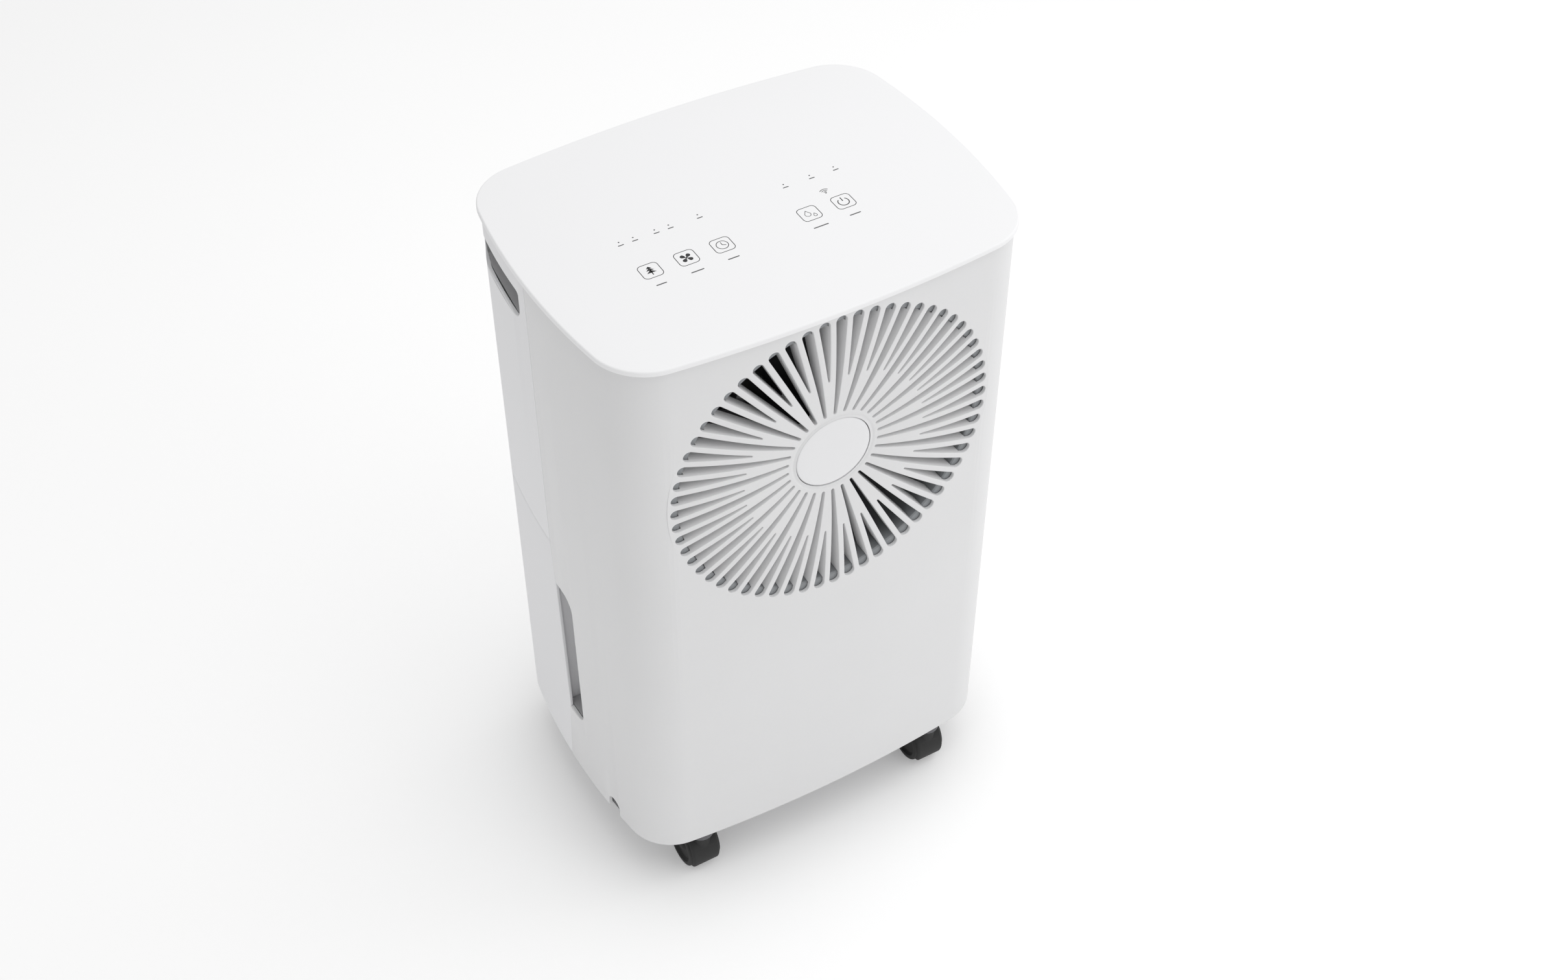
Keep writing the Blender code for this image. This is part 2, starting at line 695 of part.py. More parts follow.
def air_filter():
    """Washable filter frame behind the inlet, with four windows."""
    half = INTAKE_WIDTH / 2 - 0.005
    low = BASE_Z + INTAKE_LOW + 0.003
    high = low + INTAKE_HEIGHT - 0.006
    back = BACK_Y - WALL - sag(INTAKE_WIDTH / 2) - FILTER_GAP
    front = back - FILTER_THICKNESS
    frame = block("air_filter", (-half, front, low), (half, back, high), "filter_grey")
    for i in (-1, 1):
        for j in (-1, 1):
            x = (half / 2) * i
            z = (low + high) / 2 + (high - low) / 4 * j
            reach_x, reach_z = half / 2 - 0.006, (high - low) / 4 - 0.006
            carve(frame, block(f"window_{i}_{j}", (x - reach_x, front - PAST, z - reach_z),
                               (x + reach_x, back - 0.0015, z + reach_z)))
    return frame


def top_lid():
    """Lid plate with a rounded upper edge and a locating skirt under it."""
    skirt = LID_BOTTOM - SKIRT_DEPTH
    outside = INSIDE + 0.0035
    inside = outside + 0.0022
    loops = [level(full_plan(inset), z) for inset, z in (
        (inside, LID_BOTTOM), (inside, skirt), (outside, skirt), (outside, LID_BOTTOM),
        (0.0, LID_BOTTOM), (0.0, LID_TOP - LID_EDGE), (LID_EDGE, LID_TOP))]
    lid = loft("top_lid", loops, "lid_white")
    reach = math.sqrt(max(0, GRILLE_RADIUS**2 - (skirt - GRILLE_CENTRE) ** 2)) + 0.004
    return carve(lid, block("skirt_gap", (-reach, -HALF_DEPTH, skirt - PAST),
                            (reach, 0.02 - HALF_DEPTH, LID_BOTTOM)))


def base_pan():
    """Base plate with a socket under it for each castor."""
    plate = loft("base_pan", [level(full_plan(PAN_INSET), z) for z in (PAN_BOTTOM, PAN_TOP)], "base_grey")
    for name, x, y in castor_places():
        boss = rod(f"{name}_boss", SOCKET_RADIUS, SOCKET_BOTTOM, PAN_BOTTOM + 0.002, (x, y, 0), steps=20)
        hole = rod(f"{name}_hole", STEM_RADIUS + CLEAR, SOCKET_BOTTOM - PAST, stem_top() + 0.001, (x, y, 0))
        carve(fuse(plate, boss), hole)
    return plate


def tank_plan(inset):
    """Plan of the tank: the casing's back half, closed by a straight front."""
    grown = inset - LID_OVERHANG
    return rear_plan(inset, TANK_FRONT + grown)


def tank_shell():
    """Water tank, whose outside is the casing's lower back, with a skirt over the base plate."""
    outer, inner = tank_plan(LID_OVERHANG), tank_plan(LID_OVERHANG + TANK_WALL)
    floor = TANK_FLOOR + TANK_WALL
    skirt = BASE_Z + 0.0008
    tank = loft("tank_shell", [
        level(inner, TANK_FLOOR), level(inner, skirt), level(outer, skirt), level(outer, TANK_TOP),
        level(inner, TANK_TOP), level(inner, floor)], "casing_white")
    reach = side_x(0, PAN_INSET) + 0.0002
    carve(tank, block("skirt_cutter", (-reach, 0, skirt - PAST), (reach, TANK_FRONT + 0.01, TANK_FLOOR)))
    outside = side_x(TANK_FRONT, LID_OVERHANG)
    for side in (-1, 1):
        fuse(tank, extrusion(f"lip_{side}", lip_outline(0), side * (outside - TANK_WALL), side * outside, "X"))
    return tank


def tank_lid():
    """Lid inside the tank's rim, with the drain inlet and the float's ears."""
    top = TANK_TOP - TANK_LID_DROP
    bottom = top - TANK_LID_THICKNESS
    plan = tank_plan(LID_OVERHANG + TANK_WALL + CLEAR)
    lid = loft("tank_lid", [level(plan, bottom), level(plan, top)], "recess_grey")
    for side in (-1, 1):
        middle = FLOAT_X + side * (FLOAT_WIDTH / 2 + 0.0025)
        ear = block(f"ear_{side}", (middle - 0.0015, FLOAT_Y - 0.005, float_z() - 0.005),
                    (middle + 0.0015, FLOAT_Y + 0.005, bottom + 0.001))
        fuse(lid, ear)
    carve(lid, block("inlet_hole", (-INLET_WIDTH / 2, SPOUT_Y - INLET_LENGTH / 2, bottom - PAST),
                     (INLET_WIDTH / 2, SPOUT_Y + INLET_LENGTH / 2, top + PAST)))
    reach = FLOAT_WIDTH + 0.02
    return carve(lid, rod("ear_hole", PIN_RADIUS + 0.7 * CLEAR, FLOAT_X - reach, FLOAT_X + reach,
                          (0, FLOAT_Y, float_z()), "X", 12))


def float_z():
    """Height of the float's hinge, under the tank's lid."""
    return TANK_TOP - TANK_LID_DROP - TANK_LID_THICKNESS - 0.008


def tank_float():
    """Float block on an arm, drooping at its lower stop while the tank is empty."""
    hinge = pivot("float_pivot", (FLOAT_X, FLOAT_Y, float_z()))
    half = FLOAT_WIDTH / 2
    hub = rod("tank_float", 0.004, FLOAT_X - half, FLOAT_X + half, (0, FLOAT_Y, float_z()), "X", 12,
              "float_blue")
    tilt = Matrix.Rotation(-FLOAT_DROOP, 2)
    for name, low, high in (
            ("arm", (0.001, -0.0012), (FLOAT_ARM, 0.0012)),
            ("bulb", (FLOAT_ARM - 0.002, -FLOAT_SIZE / 2), (FLOAT_ARM + FLOAT_SIZE, FLOAT_SIZE / 2))):
        outline = [tilt @ Vector(point) + Vector((FLOAT_Y, float_z())) for point in rectangle(low, high)]
        reach = half * 0.6 if name == "arm" else half
        fuse(hub, extrusion(f"float_{name}", outline, FLOAT_X - reach, FLOAT_X + reach, "X"))
    reach = half + 0.005
    bore = rod("float_bore", PIN_RADIUS + 0.7 * CLEAR, FLOAT_X - reach, FLOAT_X + reach,
               (0, FLOAT_Y, float_z()), "X", 12)
    hang(carve(hub, bore), hinge)
    rod("float_pin", PIN_RADIUS, FLOAT_X - reach, FLOAT_X + reach, (0, FLOAT_Y, float_z()), "X", 12, "steel")


def mid_shelf():
    """Shelf between the tank and the coils, with the drain's hole and a corner open for pipes."""
    shelf = loft("mid_shelf", [level(full_plan(PAN_INSET + CLEAR), z) for z in (SHELF_BOTTOM, SHELF_TOP)],
                 "inner_grey")
    low, high = SHELF_BOTTOM - PAST, SHELF_TOP + PAST
    carve(shelf, block("shelf_front", (-HALF_WIDTH, -HALF_DEPTH, low), (HALF_WIDTH, SHELF_FRONT, high)))
    carve(shelf, block("pipe_corner", (COIL_WIDTH / 2 - 0.018, SHELF_FRONT - PAST, low),
                       (HALF_WIDTH - 0.0227, SEAM_Y - 0.003, high)))
    return carve(shelf, rod("spout_hole", SPOUT_RADIUS + 0.002, low, high, (0, SPOUT_Y, 0)))


def drip_tray():
    """Tray under both coils, with a spout over the tank's inlet."""
    reach = COIL_WIDTH / 2 + 0.006
    front, back = CONDENSER_Y - 0.004, EVAPORATOR_Y + COIL_DEPTH + 0.004
    outer = rounded(rectangle((-reach, front), (reach, back)), (0.004,) * 4, 2)
    inner = rounded(rectangle((TRAY_WALL - reach, front + TRAY_WALL), (reach - TRAY_WALL, back - TRAY_WALL)),
                    (0.0024,) * 4, 2)
    floor = TRAY_BOTTOM + TRAY_FLOOR
    tray = loft("drip_tray", [level(outer, TRAY_BOTTOM), level(outer, TRAY_RIM), level(inner, TRAY_RIM),
                              level(inner, floor)], "inner_grey")
    for side in (-1, 1):
        middle = side * COIL_WIDTH / 3
        fuse(tray, block(f"pad_{side}", (middle - 0.003, CONDENSER_Y, floor - 0.001),
                         (middle + 0.003, EVAPORATOR_Y + COIL_DEPTH, floor + PAD_HEIGHT)))
    fuse(tray, rod("spout", SPOUT_RADIUS, SEAM_Z + 0.0012, TRAY_BOTTOM + 0.001, (0, SPOUT_Y, 0)))
    return carve(tray, rod("spout_bore", SPOUT_RADIUS - 0.002, SEAM_Z - PAST, TRAY_BOTTOM + PAST,
                           (0, SPOUT_Y, 0)))


def coil(name, front, finish):
    """A finned coil block: upright fins on a solid back."""
    half = COIL_WIDTH / 2
    pitch = COIL_WIDTH / COIL_FINS
    outline = [(half, front + COIL_DEPTH), (-half, front + COIL_DEPTH)]
    root = front + COIL_DEPTH * 0.75
    for i in range(COIL_FINS):
        left = -half + i * pitch
        right = half if i == COIL_FINS - 1 else left + pitch * 0.45
        outline += [(left, front), (right, front)]
        if right < half:
            outline += [(right, root), (left + pitch, root)]
    return extrusion(name, outline, COIL_BOTTOM, COIL_BOTTOM + COIL_HEIGHT, "Z", finish)


def refrigerant_pipes():
    """Pipes from the compressor to the coils, the drier and the thin tube after it."""
    side = COIL_WIDTH / 2 + CLEAR
    top = compressor_top()
    condenser_y, evaporator_y = CONDENSER_Y + COIL_DEPTH / 2, EVAPORATOR_Y + COIL_DEPTH / 2
    suction_x, discharge_x = side + 0.015, side + 0.013
    suction_y, discharge_y = BULKHEAD_BACK + 0.039, BULKHEAD_BACK + 0.023
    suction_z, discharge_z, high = (COIL_BOTTOM + share * COIL_HEIGHT for share in (0.162, 0.54, 0.81))
    tube("suction_pipe", [
        (accumulator_x(), COMPRESSOR_Y, accumulator_top() + CLEAR),
        (accumulator_x(), COMPRESSOR_Y, top + 0.030),
        (suction_x, COMPRESSOR_Y, top + 0.030), (suction_x, suction_y, top + 0.030),
        (suction_x, suction_y, suction_z), (suction_x, evaporator_y, suction_z), (side, evaporator_y, suction_z)],
        PIPE_RADIUS, "copper")
    tube("discharge_pipe", [
        (COMPRESSOR_X, COMPRESSOR_Y, top + CLEAR), (COMPRESSOR_X, COMPRESSOR_Y, top + 0.045),
        (discharge_x, COMPRESSOR_Y, top + 0.045), (discharge_x, discharge_y, top + 0.045),
        (discharge_x, discharge_y, discharge_z), (discharge_x, condenser_y, discharge_z),
        (side, condenser_y, discharge_z)], PIPE_RADIUS, "copper")
    drier_x = side + 0.012
    drier_low, drier_high = high - 0.2162 * COIL_HEIGHT, high - 0.0216 * COIL_HEIGHT
    rod("filter_drier", 0.007, drier_low, drier_high, (drier_x, condenser_y, 0), steps=16, finish="copper")
    loop_z, end_z = high + 0.01, high - suction_z + COIL_BOTTOM
    tube("capillary_tube", [
        (drier_x, condenser_y, drier_high + 0.0004), (drier_x, condenser_y, loop_z),
        (drier_x, evaporator_y, loop_z), (drier_x, evaporator_y, end_z), (side, evaporator_y, end_z)],
        0.0014, "copper")


def accumulator_x():
    """X of the accumulator beside the compressor."""
    return COMPRESSOR_X + COMPRESSOR_RADIUS + 0.020


def accumulator_top():
    """Top of the accumulator."""
    return compressor_bottom() + COMPRESSOR_HEIGHT * 0.75


def compressor_bottom():
    """Underside of the compressor's foot plate, on its grommets."""
    return PAN_TOP + 2 * CLEAR + GROMMET_HEIGHT


def compressor_top():
    """Top of the compressor's can."""
    return compressor_bottom() + PLATE + COMPRESSOR_HEIGHT


def compressor():
    """Rotary compressor with its welded foot plate on three rubber grommets, and its accumulator."""
    radius, bottom = COMPRESSOR_RADIUS, compressor_bottom()
    top = compressor_top()
    can = lathe("compressor", [(0, top), (radius * 0.45, top - 0.002), (radius * 0.85, top - 0.014),
                               (radius, top - 0.030), (radius, bottom + 0.014), (radius * 0.8, bottom + 0.001),
                               (0, bottom + 0.001)], (COMPRESSOR_X, COMPRESSOR_Y, 0), steps=32,
                finish="compressor_black")
    feet = radius + FOOT_REACH
    places = [(COMPRESSOR_X + feet * math.cos(a), COMPRESSOR_Y + feet * math.sin(a))
              for a in (math.pi / 6, 5 * math.pi / 6, 3 * math.pi / 2)]
    outline = []
    for turn, (x, y) in zip((math.pi / 6, 5 * math.pi / 6, 3 * math.pi / 2), places):
        outline += arc((x, y), FOOT_RADIUS, turn - math.pi / 3, turn + math.pi / 3, 4)
    fuse(can, extrusion("foot_plate", outline, bottom, bottom + PLATE))
    for i, (x, y) in enumerate(places, 1):
        low = PAN_TOP + CLEAR
        rod(f"grommet_{i}", GROMMET_RADIUS, low, low + GROMMET_HEIGHT, (x, y, 0), finish="rubber")
    rod("accumulator", 0.014, bottom + 0.02, accumulator_top(), (accumulator_x(), COMPRESSOR_Y, 0),
        steps=20, finish="compressor_black")


def blade(turn, radius, root, pitch_root, pitch_tip, low, depth):
    """Points and faces of one twisted fan blade about the local Z axis."""
    spans, chords, thickness = 3, 3, 0.0011
    points, faces = [], []
    for side in (-1, 1):
        for i in range(spans + 1):
            share = i / spans
            r = root + (radius - root) * share
            pitch = pitch_root + (pitch_tip - pitch_root) * share
            for j in range(chords + 1):
                along = j / chords - 0.5
                sweep = turn + pitch * along + 0.12 * share
                lift = low + depth * (0.5 + along * (1 - 0.25 * share)) - 0.004 * (1 - 4 * along**2)
                points.append((r * math.cos(sweep), r * math.sin(sweep), lift + side * thickness))
    row, sheet = chords + 1, (spans + 1) * (chords + 1)
    for i in range(spans):
        for j in range(chords):
            a = i * row + j
            faces.append((a, a + 1, a + row + 1, a + row))
            faces.append((sheet + a, sheet + a + row, sheet + a + row + 1, sheet + a + 1))
    edge = [(0, j) for j in range(chords)] + [(i, chords) for i in range(spans)]
    edge += [(spans, chords - j) for j in range(chords)] + [(spans - i, 0) for i in range(spans)]
    ring = [i * row + j for i, j in edge]
    for a, b in zip(ring, ring[1:] + ring[:1]):
        faces.append((a, b, sheet + b, sheet + a))
    return points, faces


def fan():
    """Fan wheel on the motor's shaft, with its nut, and the motor behind on a four-armed bracket."""
    axis = pivot("fan_pivot", (0, FAN_FRONT, GRILLE_CENTRE))
    at = (0, 0, GRILLE_CENTRE)
    hub_back = FAN_FRONT + FAN_DEPTH
    wheel = lathe("fan_wheel", [
        (0, FAN_FRONT), (FAN_HUB_RADIUS * 0.8, FAN_FRONT), (FAN_HUB_RADIUS, FAN_FRONT + 0.006),
        (FAN_HUB_RADIUS, hub_back), (0, hub_back)], at, "Y", 28, finish="fan_black")
    for k in range(FAN_BLADES):
        points, faces = blade(2 * math.pi * k / FAN_BLADES, FAN_RADIUS, FAN_HUB_RADIUS - 0.003, 0.62, 0.55,
                              FAN_FRONT + 0.003, FAN_DEPTH - 0.006)
        points = [turned("Y") @ Vector(point) + Vector(at) for point in points]
        fuse(wheel, solid(f"blade_{k}", points, faces))
    bore = SHAFT_RADIUS + CLEAR
    carve(wheel, rod("fan_bore", bore, FAN_FRONT - PAST, hub_back + 0.01, at, "Y", 12))
    nut_front = FAN_FRONT - CLEAR - 0.006
    nut = lathe("fan_nut", [(bore, nut_front), (0.008, nut_front), (0.008, FAN_FRONT - CLEAR),
                            (bore, FAN_FRONT - CLEAR)], at, "Y", 12, ring=True, finish="fan_black")
    shaft = rod("motor_shaft", SHAFT_RADIUS, nut_front + 0.001, MOTOR_BACK - 0.006, at, "Y", 12, "steel")
    for piece in (wheel, nut, shaft):
        hang(piece, axis)
    front = BRACKET_BACK + CLEAR
    lathe("fan_motor", [
        (bore, front), (MOTOR_RADIUS * 0.7, front), (MOTOR_RADIUS, front + 0.008),
        (MOTOR_RADIUS, MOTOR_BACK - 0.008),
        (MOTOR_RADIUS * 0.7, MOTOR_BACK), (bore, MOTOR_BACK)], at, "Y", 24, ring=True, finish="steel")
    ring_front = BULKHEAD_BACK + CLEAR
    bracket = lathe("motor_bracket", [
        (0.010, ring_front), (MOTOR_RADIUS, ring_front), (MOTOR_RADIUS, BRACKET_BACK), (0.010, BRACKET_BACK)],
        at, "Y", 24, ring=True, finish="steel")
    for k in range(4):
        spin = Matrix.Rotation(math.pi / 4 + k * math.pi / 2, 2)
        outline = [spin @ Vector(point) + Vector((0, GRILLE_CENTRE)) for point in
                   rectangle((MOTOR_RADIUS - 0.004, -0.006), (FAN_RADIUS + 0.014, 0.006))]
        fuse(bracket, extrusion(f"arm_{k}", outline, ring_front, BRACKET_BACK, "Y"))
    low = SHELF_TOP + 0.004
    reach = side_x(BULKHEAD_BACK, PAN_INSET) - 0.0135
    bulkhead = block("fan_bulkhead", (-reach, DUCT_BACK + CLEAR, low),
                     (reach, BULKHEAD_BACK, SHELL_TOP - 0.012), "inner_grey")
    carve(bulkhead, rod("fan_opening", FAN_RADIUS + 0.003, DUCT_BACK - PAST, BULKHEAD_BACK + PAST,
                        at, "Y", 40))


def electrics():
    """Boards, capacitor, sensors, lamp and the inlet of the mains lead."""
    block("touch_board", (-0.106, -0.054, LID_BOTTOM - 0.0064), (0.092, 0.014, LID_BOTTOM - 0.0044),
          "board_green")
    front = 0.0236 - HALF_DEPTH
    block("power_board", (HALF_WIDTH - 0.1227, front, SEAM_Z - 0.116),
          (HALF_WIDTH - 0.0377, front + 0.0016, SEAM_Z - 0.026), "board_green")
    rod("run_capacitor", 0.016, HALF_WIDTH - 0.0877, HALF_WIDTH - 0.0327,
        (0, COMPRESSOR_Y, PAN_TOP + CLEAR + 0.016), "X", 20, "steel")
    outside, back = 0.0327 - HALF_WIDTH, HALF_DEPTH - 0.0236
    block("humidity_sensor", (outside, back - 0.016, SEAM_Z + 0.034), (outside + 0.012, back, SEAM_Z + 0.056),
          "board_green")
    block("ioniser", (-0.060, -0.046, LID_BOTTOM - 0.0415), (-0.020, -0.031, LID_BOTTOM - 0.0255),
          "fan_black")
    rod("uv_lamp", 0.005, -0.055, 0.055, (0, -0.004, LID_BOTTOM - 0.0365), "X", 16, "lamp_glass")
    block("reed_switch", (-0.070, SEAM_Y - 0.012, SEAM_Z - 0.036), (-0.045, SEAM_Y - 0.0015, SEAM_Z - 0.020),
          "board_green")
    outer = -side_x(NOTCH_Y, INSIDE) + 0.002
    gland = block("cord_inlet", (outer, NOTCH_Y - 0.008, PAN_TOP + CLEAR),
                  (outer + 0.014, NOTCH_Y + 0.008, PAN_TOP + 0.016), "castor_black")
    carve(gland, rod("gland_bore", 0.0042, outer - PAST, outer + 0.011, (0, NOTCH_Y, PAN_TOP + 0.0078), "X"))


def drain_plug():
    """Rubber bung of the hose outlet in the back, which pulls straight out."""
    axis = pivot("plug_pivot", (0, BACK_Y, BASE_Z + PLUG_Z))
    face = BACK_Y + 0.0003
    profile = [(0, face + 0.0021), (0.0085, face + 0.0021), (0.009, face + 0.0014), (0.009, face),
               (PLUG_RADIUS, face), (PLUG_RADIUS, face - 0.010), (0, face - 0.010)]
    hang(lathe("drain_plug", profile, (0, 0, BASE_Z + PLUG_Z), "Y", 20, finish="rubber"), axis)


def castor_places():
    """Name and stem position of each castor."""
    return [(f"castor_{end}_{side}", x, y)
            for end, y in (("front", CASTOR_FRONT_Y), ("back", CASTOR_BACK_Y))
            for side, x in (("left", -CASTOR_X), ("right", CASTOR_X))]


def stem_top():
    """Top of a castor's stem, inside its socket and below the tank's lowest edge."""
    return BASE_Z - CLEAR


def castor_meshes():
    """Meshes of a castor's body, axle and wheel, about the stem's axis on the floor."""
    axle = (CASTOR_TRAIL, WHEEL_RADIUS)
    front_end, back_end = math.radians(205), math.radians(35)
    outer = arc(axle, HOOD_RADIUS, front_end, back_end, 9)
    inner = arc(axle, HOOD_RADIUS - HOOD_WALL, back_end, front_end, 9)
    body = extrusion("hood", outer + inner, -HOOD_HALF_WIDTH, HOOD_HALF_WIDTH, "X", "castor_black")
    web = arc(axle, HOOD_RADIUS - HOOD_WALL / 2, front_end - 0.1, back_end + 0.1, 10)
    web += [(axle[0] + 0.009, axle[1] - 0.002), (axle[0], axle[1] - 0.007), (axle[0] - 0.012, axle[1] - 0.010)]
    fuse(body, extrusion("web", web, -WEB_HALF_WIDTH, WEB_HALF_WIDTH, "X"))
    collar_top = SOCKET_BOTTOM - CLEAR
    collar = rod("collar", COLLAR_RADIUS, WHEEL_RADIUS, collar_top, (0, 0, 0))
    carve(collar, rod("collar_cutter", HOOD_RADIUS - HOOD_WALL / 2, -0.02, 0.02, (0, *axle), "X", 40))
    fuse(body, collar, rod("stem", STEM_RADIUS, collar_top - 0.001, stem_top(), (0, 0, 0)))
    bore = AXLE_RADIUS + CLEAR
    carve(body, rod("axle_bore", bore, -0.02, 0.02, (0, *axle), "X", 12))
    inside, face = WEB_HALF_WIDTH + CLEAR, WEB_HALF_WIDTH + CLEAR + WHEEL_WIDTH
    steps = 20
    rim = WHEEL_RADIUS / math.cos(math.pi / steps)
    wheel = lathe("wheel", [
        (0, face), (rim - 0.003, face), (rim, face - 0.0012), (rim, inside), (bore, inside),
        (bore, face - 0.001), (0, face - 0.001)], (0, 0, 0), "X", steps, math.pi / steps, finish="castor_black")
    pin = rod("axle", AXLE_RADIUS, 0.0014 - face, face - 0.0014, (0, 0, 0), "X", 12, finish="steel")
    meshes = [evaluated_mesh(thing, thing.name) for thing in (body, pin, wheel)]
    for thing in (body, pin, wheel):
        thing.hide_render = True
        thing.display_type = "WIRE"
    return meshes


def castors():
    """Four castors: each body turns on its stem, and each of its two wheels on the axle."""
    body_mesh, pin_mesh, wheel_mesh = castor_meshes()
    for name, x, y in castor_places():
        swivel = pivot(f"{name}_swivel", (x, y, 0))
        axle_at = (x, y + CASTOR_TRAIL, WHEEL_RADIUS)
        spin = pivot(f"{name}_spin", axle_at, swivel)
        body = place(body_mesh.copy(), f"{name}_body")
        body.location = (x, y, 0)
        hang(body, swivel)
        pin = place(pin_mesh.copy(), f"{name}_axle")
        pin.location = axle_at
        hang(pin, swivel)
        for side, turn in (("wheel_left", math.pi), ("wheel_right", 0.0)):
            wheel = place(wheel_mesh.copy(), f"{name}_{side}")
            wheel.location = axle_at
            wheel.rotation_euler.z = turn
            hang(wheel, spin)


def main():
    """Builds every sub-part."""
    clear_scene()
    front_shell()
    hub_cap()
    fan_duct()
    rear_shell()
    intake = pivot("filter_pivot", (0, BACK_Y, BASE_Z + INTAKE_LOW))
    hang(intake_grille(), intake)
    hang(air_filter(), intake)
    top_lid()
    base_pan()
    for side, label in ((-1, "left"), (1, "right")):
        recess_cup(f"grip_cup_{label}", grip_outline(), SEAM_Y - SEAM_GAP / 2, side, GRIP_DEPTH)
        handle_back = HANDLE_FRONT + HANDLE_LENGTH + CUP_WALL
        recess_cup(f"handle_cup_{label}", handle_outline(), handle_back, side, HANDLE_DEPTH)
    tank = pivot("tank_pivot", (0, TANK_FRONT, TANK_FLOOR))
    hang(tank_shell(), tank)
    hang(tank_lid(), tank)
    tank_float()
    mid_shelf()
    drip_tray()
    coil("condenser", CONDENSER_Y, "fin_aluminium")
    coil("evaporator", EVAPORATOR_Y, "fin_aluminium")
    compressor()
    refrigerant_pipes()
    fan()
    electrics()
    drain_plug()
    castors()


if __name__ == "__main__":
    main()
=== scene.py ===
"""Looks of a portable dehumidifier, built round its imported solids.

Metres, +Z up. The front looks towards -Y, and the origin lies on the floor under the middle of
the casing. Each sub-assembly is a class that builds its pieces and puts each on its moving body.
"""

import json
import logging
import math
from collections.abc import Callable, Sequence
from dataclasses import dataclass, field
from enum import Enum
from functools import cache

import bmesh
import bpy
from mathutils import Matrix, Vector


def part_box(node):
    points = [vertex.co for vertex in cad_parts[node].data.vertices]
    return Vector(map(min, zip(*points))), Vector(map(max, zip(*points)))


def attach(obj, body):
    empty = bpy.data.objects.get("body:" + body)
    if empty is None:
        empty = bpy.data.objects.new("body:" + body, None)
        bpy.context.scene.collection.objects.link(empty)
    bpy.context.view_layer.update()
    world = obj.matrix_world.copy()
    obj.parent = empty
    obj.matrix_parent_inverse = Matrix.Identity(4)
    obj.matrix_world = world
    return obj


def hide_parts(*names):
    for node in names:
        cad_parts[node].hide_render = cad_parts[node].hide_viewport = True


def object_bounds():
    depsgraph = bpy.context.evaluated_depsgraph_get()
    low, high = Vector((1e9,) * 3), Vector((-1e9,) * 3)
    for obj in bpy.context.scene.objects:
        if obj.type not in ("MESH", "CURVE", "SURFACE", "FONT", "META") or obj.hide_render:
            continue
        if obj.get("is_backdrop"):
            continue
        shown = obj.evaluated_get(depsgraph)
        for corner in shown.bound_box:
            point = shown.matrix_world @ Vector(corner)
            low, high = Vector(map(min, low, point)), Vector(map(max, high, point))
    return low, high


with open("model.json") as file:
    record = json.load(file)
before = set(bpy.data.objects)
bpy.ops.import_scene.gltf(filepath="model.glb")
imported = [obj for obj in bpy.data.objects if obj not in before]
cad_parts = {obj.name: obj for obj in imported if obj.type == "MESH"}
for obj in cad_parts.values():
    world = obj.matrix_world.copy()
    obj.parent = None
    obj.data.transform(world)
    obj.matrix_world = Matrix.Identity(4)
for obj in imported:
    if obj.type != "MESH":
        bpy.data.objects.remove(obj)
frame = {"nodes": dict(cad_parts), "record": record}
CAD_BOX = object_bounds()

logger = logging.getLogger("dehumidifier")

Point = tuple[float, float, float]
Flat = tuple[float, float]
SHARP_ANGLE = math.radians(34)
PAST = 0.01


# ---------------------------------------------------------------------------------------------
# Shader trees
# ---------------------------------------------------------------------------------------------


class Signal:
    """An output socket of a shader tree that can be used in Python arithmetic."""

    def __init__(self, tree: "Tree", socket: bpy.types.NodeSocket) -> None:
        """Wraps a socket.

        Args:
            tree: The tree that new Math nodes join.
            socket: The output that this signal stands for.
        """
        self.tree = tree
        self.socket = socket

    def maths(self, operation: str, *values: "Signal | float") -> "Signal":
        """A Math node on these values."""
        return self.tree.add("Math", {"operation": operation}, dict(enumerate(values)))

    def __add__(self, other: "Signal | float") -> "Signal":
        """The sum of two signals."""
        return self.maths("ADD", self, other)

    def __radd__(self, other: float) -> "Signal":
        """The sum with a number on the left."""
        return self.maths("ADD", other, self)

    def __sub__(self, other: "Signal | float") -> "Signal":
        """The difference of two signals."""
        return self.maths("SUBTRACT", self, other)

    def __rsub__(self, other: float) -> "Signal":
        """A number less this signal."""
        return self.maths("SUBTRACT", other, self)

    def __mul__(self, other: "Signal | float") -> "Signal":
        """The product of two signals."""
        return self.maths("MULTIPLY", self, other)

    def __rmul__(self, other: float) -> "Signal":
        """The product with a number on the left."""
        return self.maths("MULTIPLY", other, self)

    def __gt__(self, other: float) -> "Signal":
        """One where the signal is above a number, and nought elsewhere."""
        return self.maths("GREATER_THAN", self, other)

    def sine(self) -> "Signal":
        """The sine of the signal."""
        return self.maths("SINE", self)

    def largest(self, other: "Signal | float") -> "Signal":
        """The larger of two signals."""
        return self.maths("MAXIMUM", self, other)


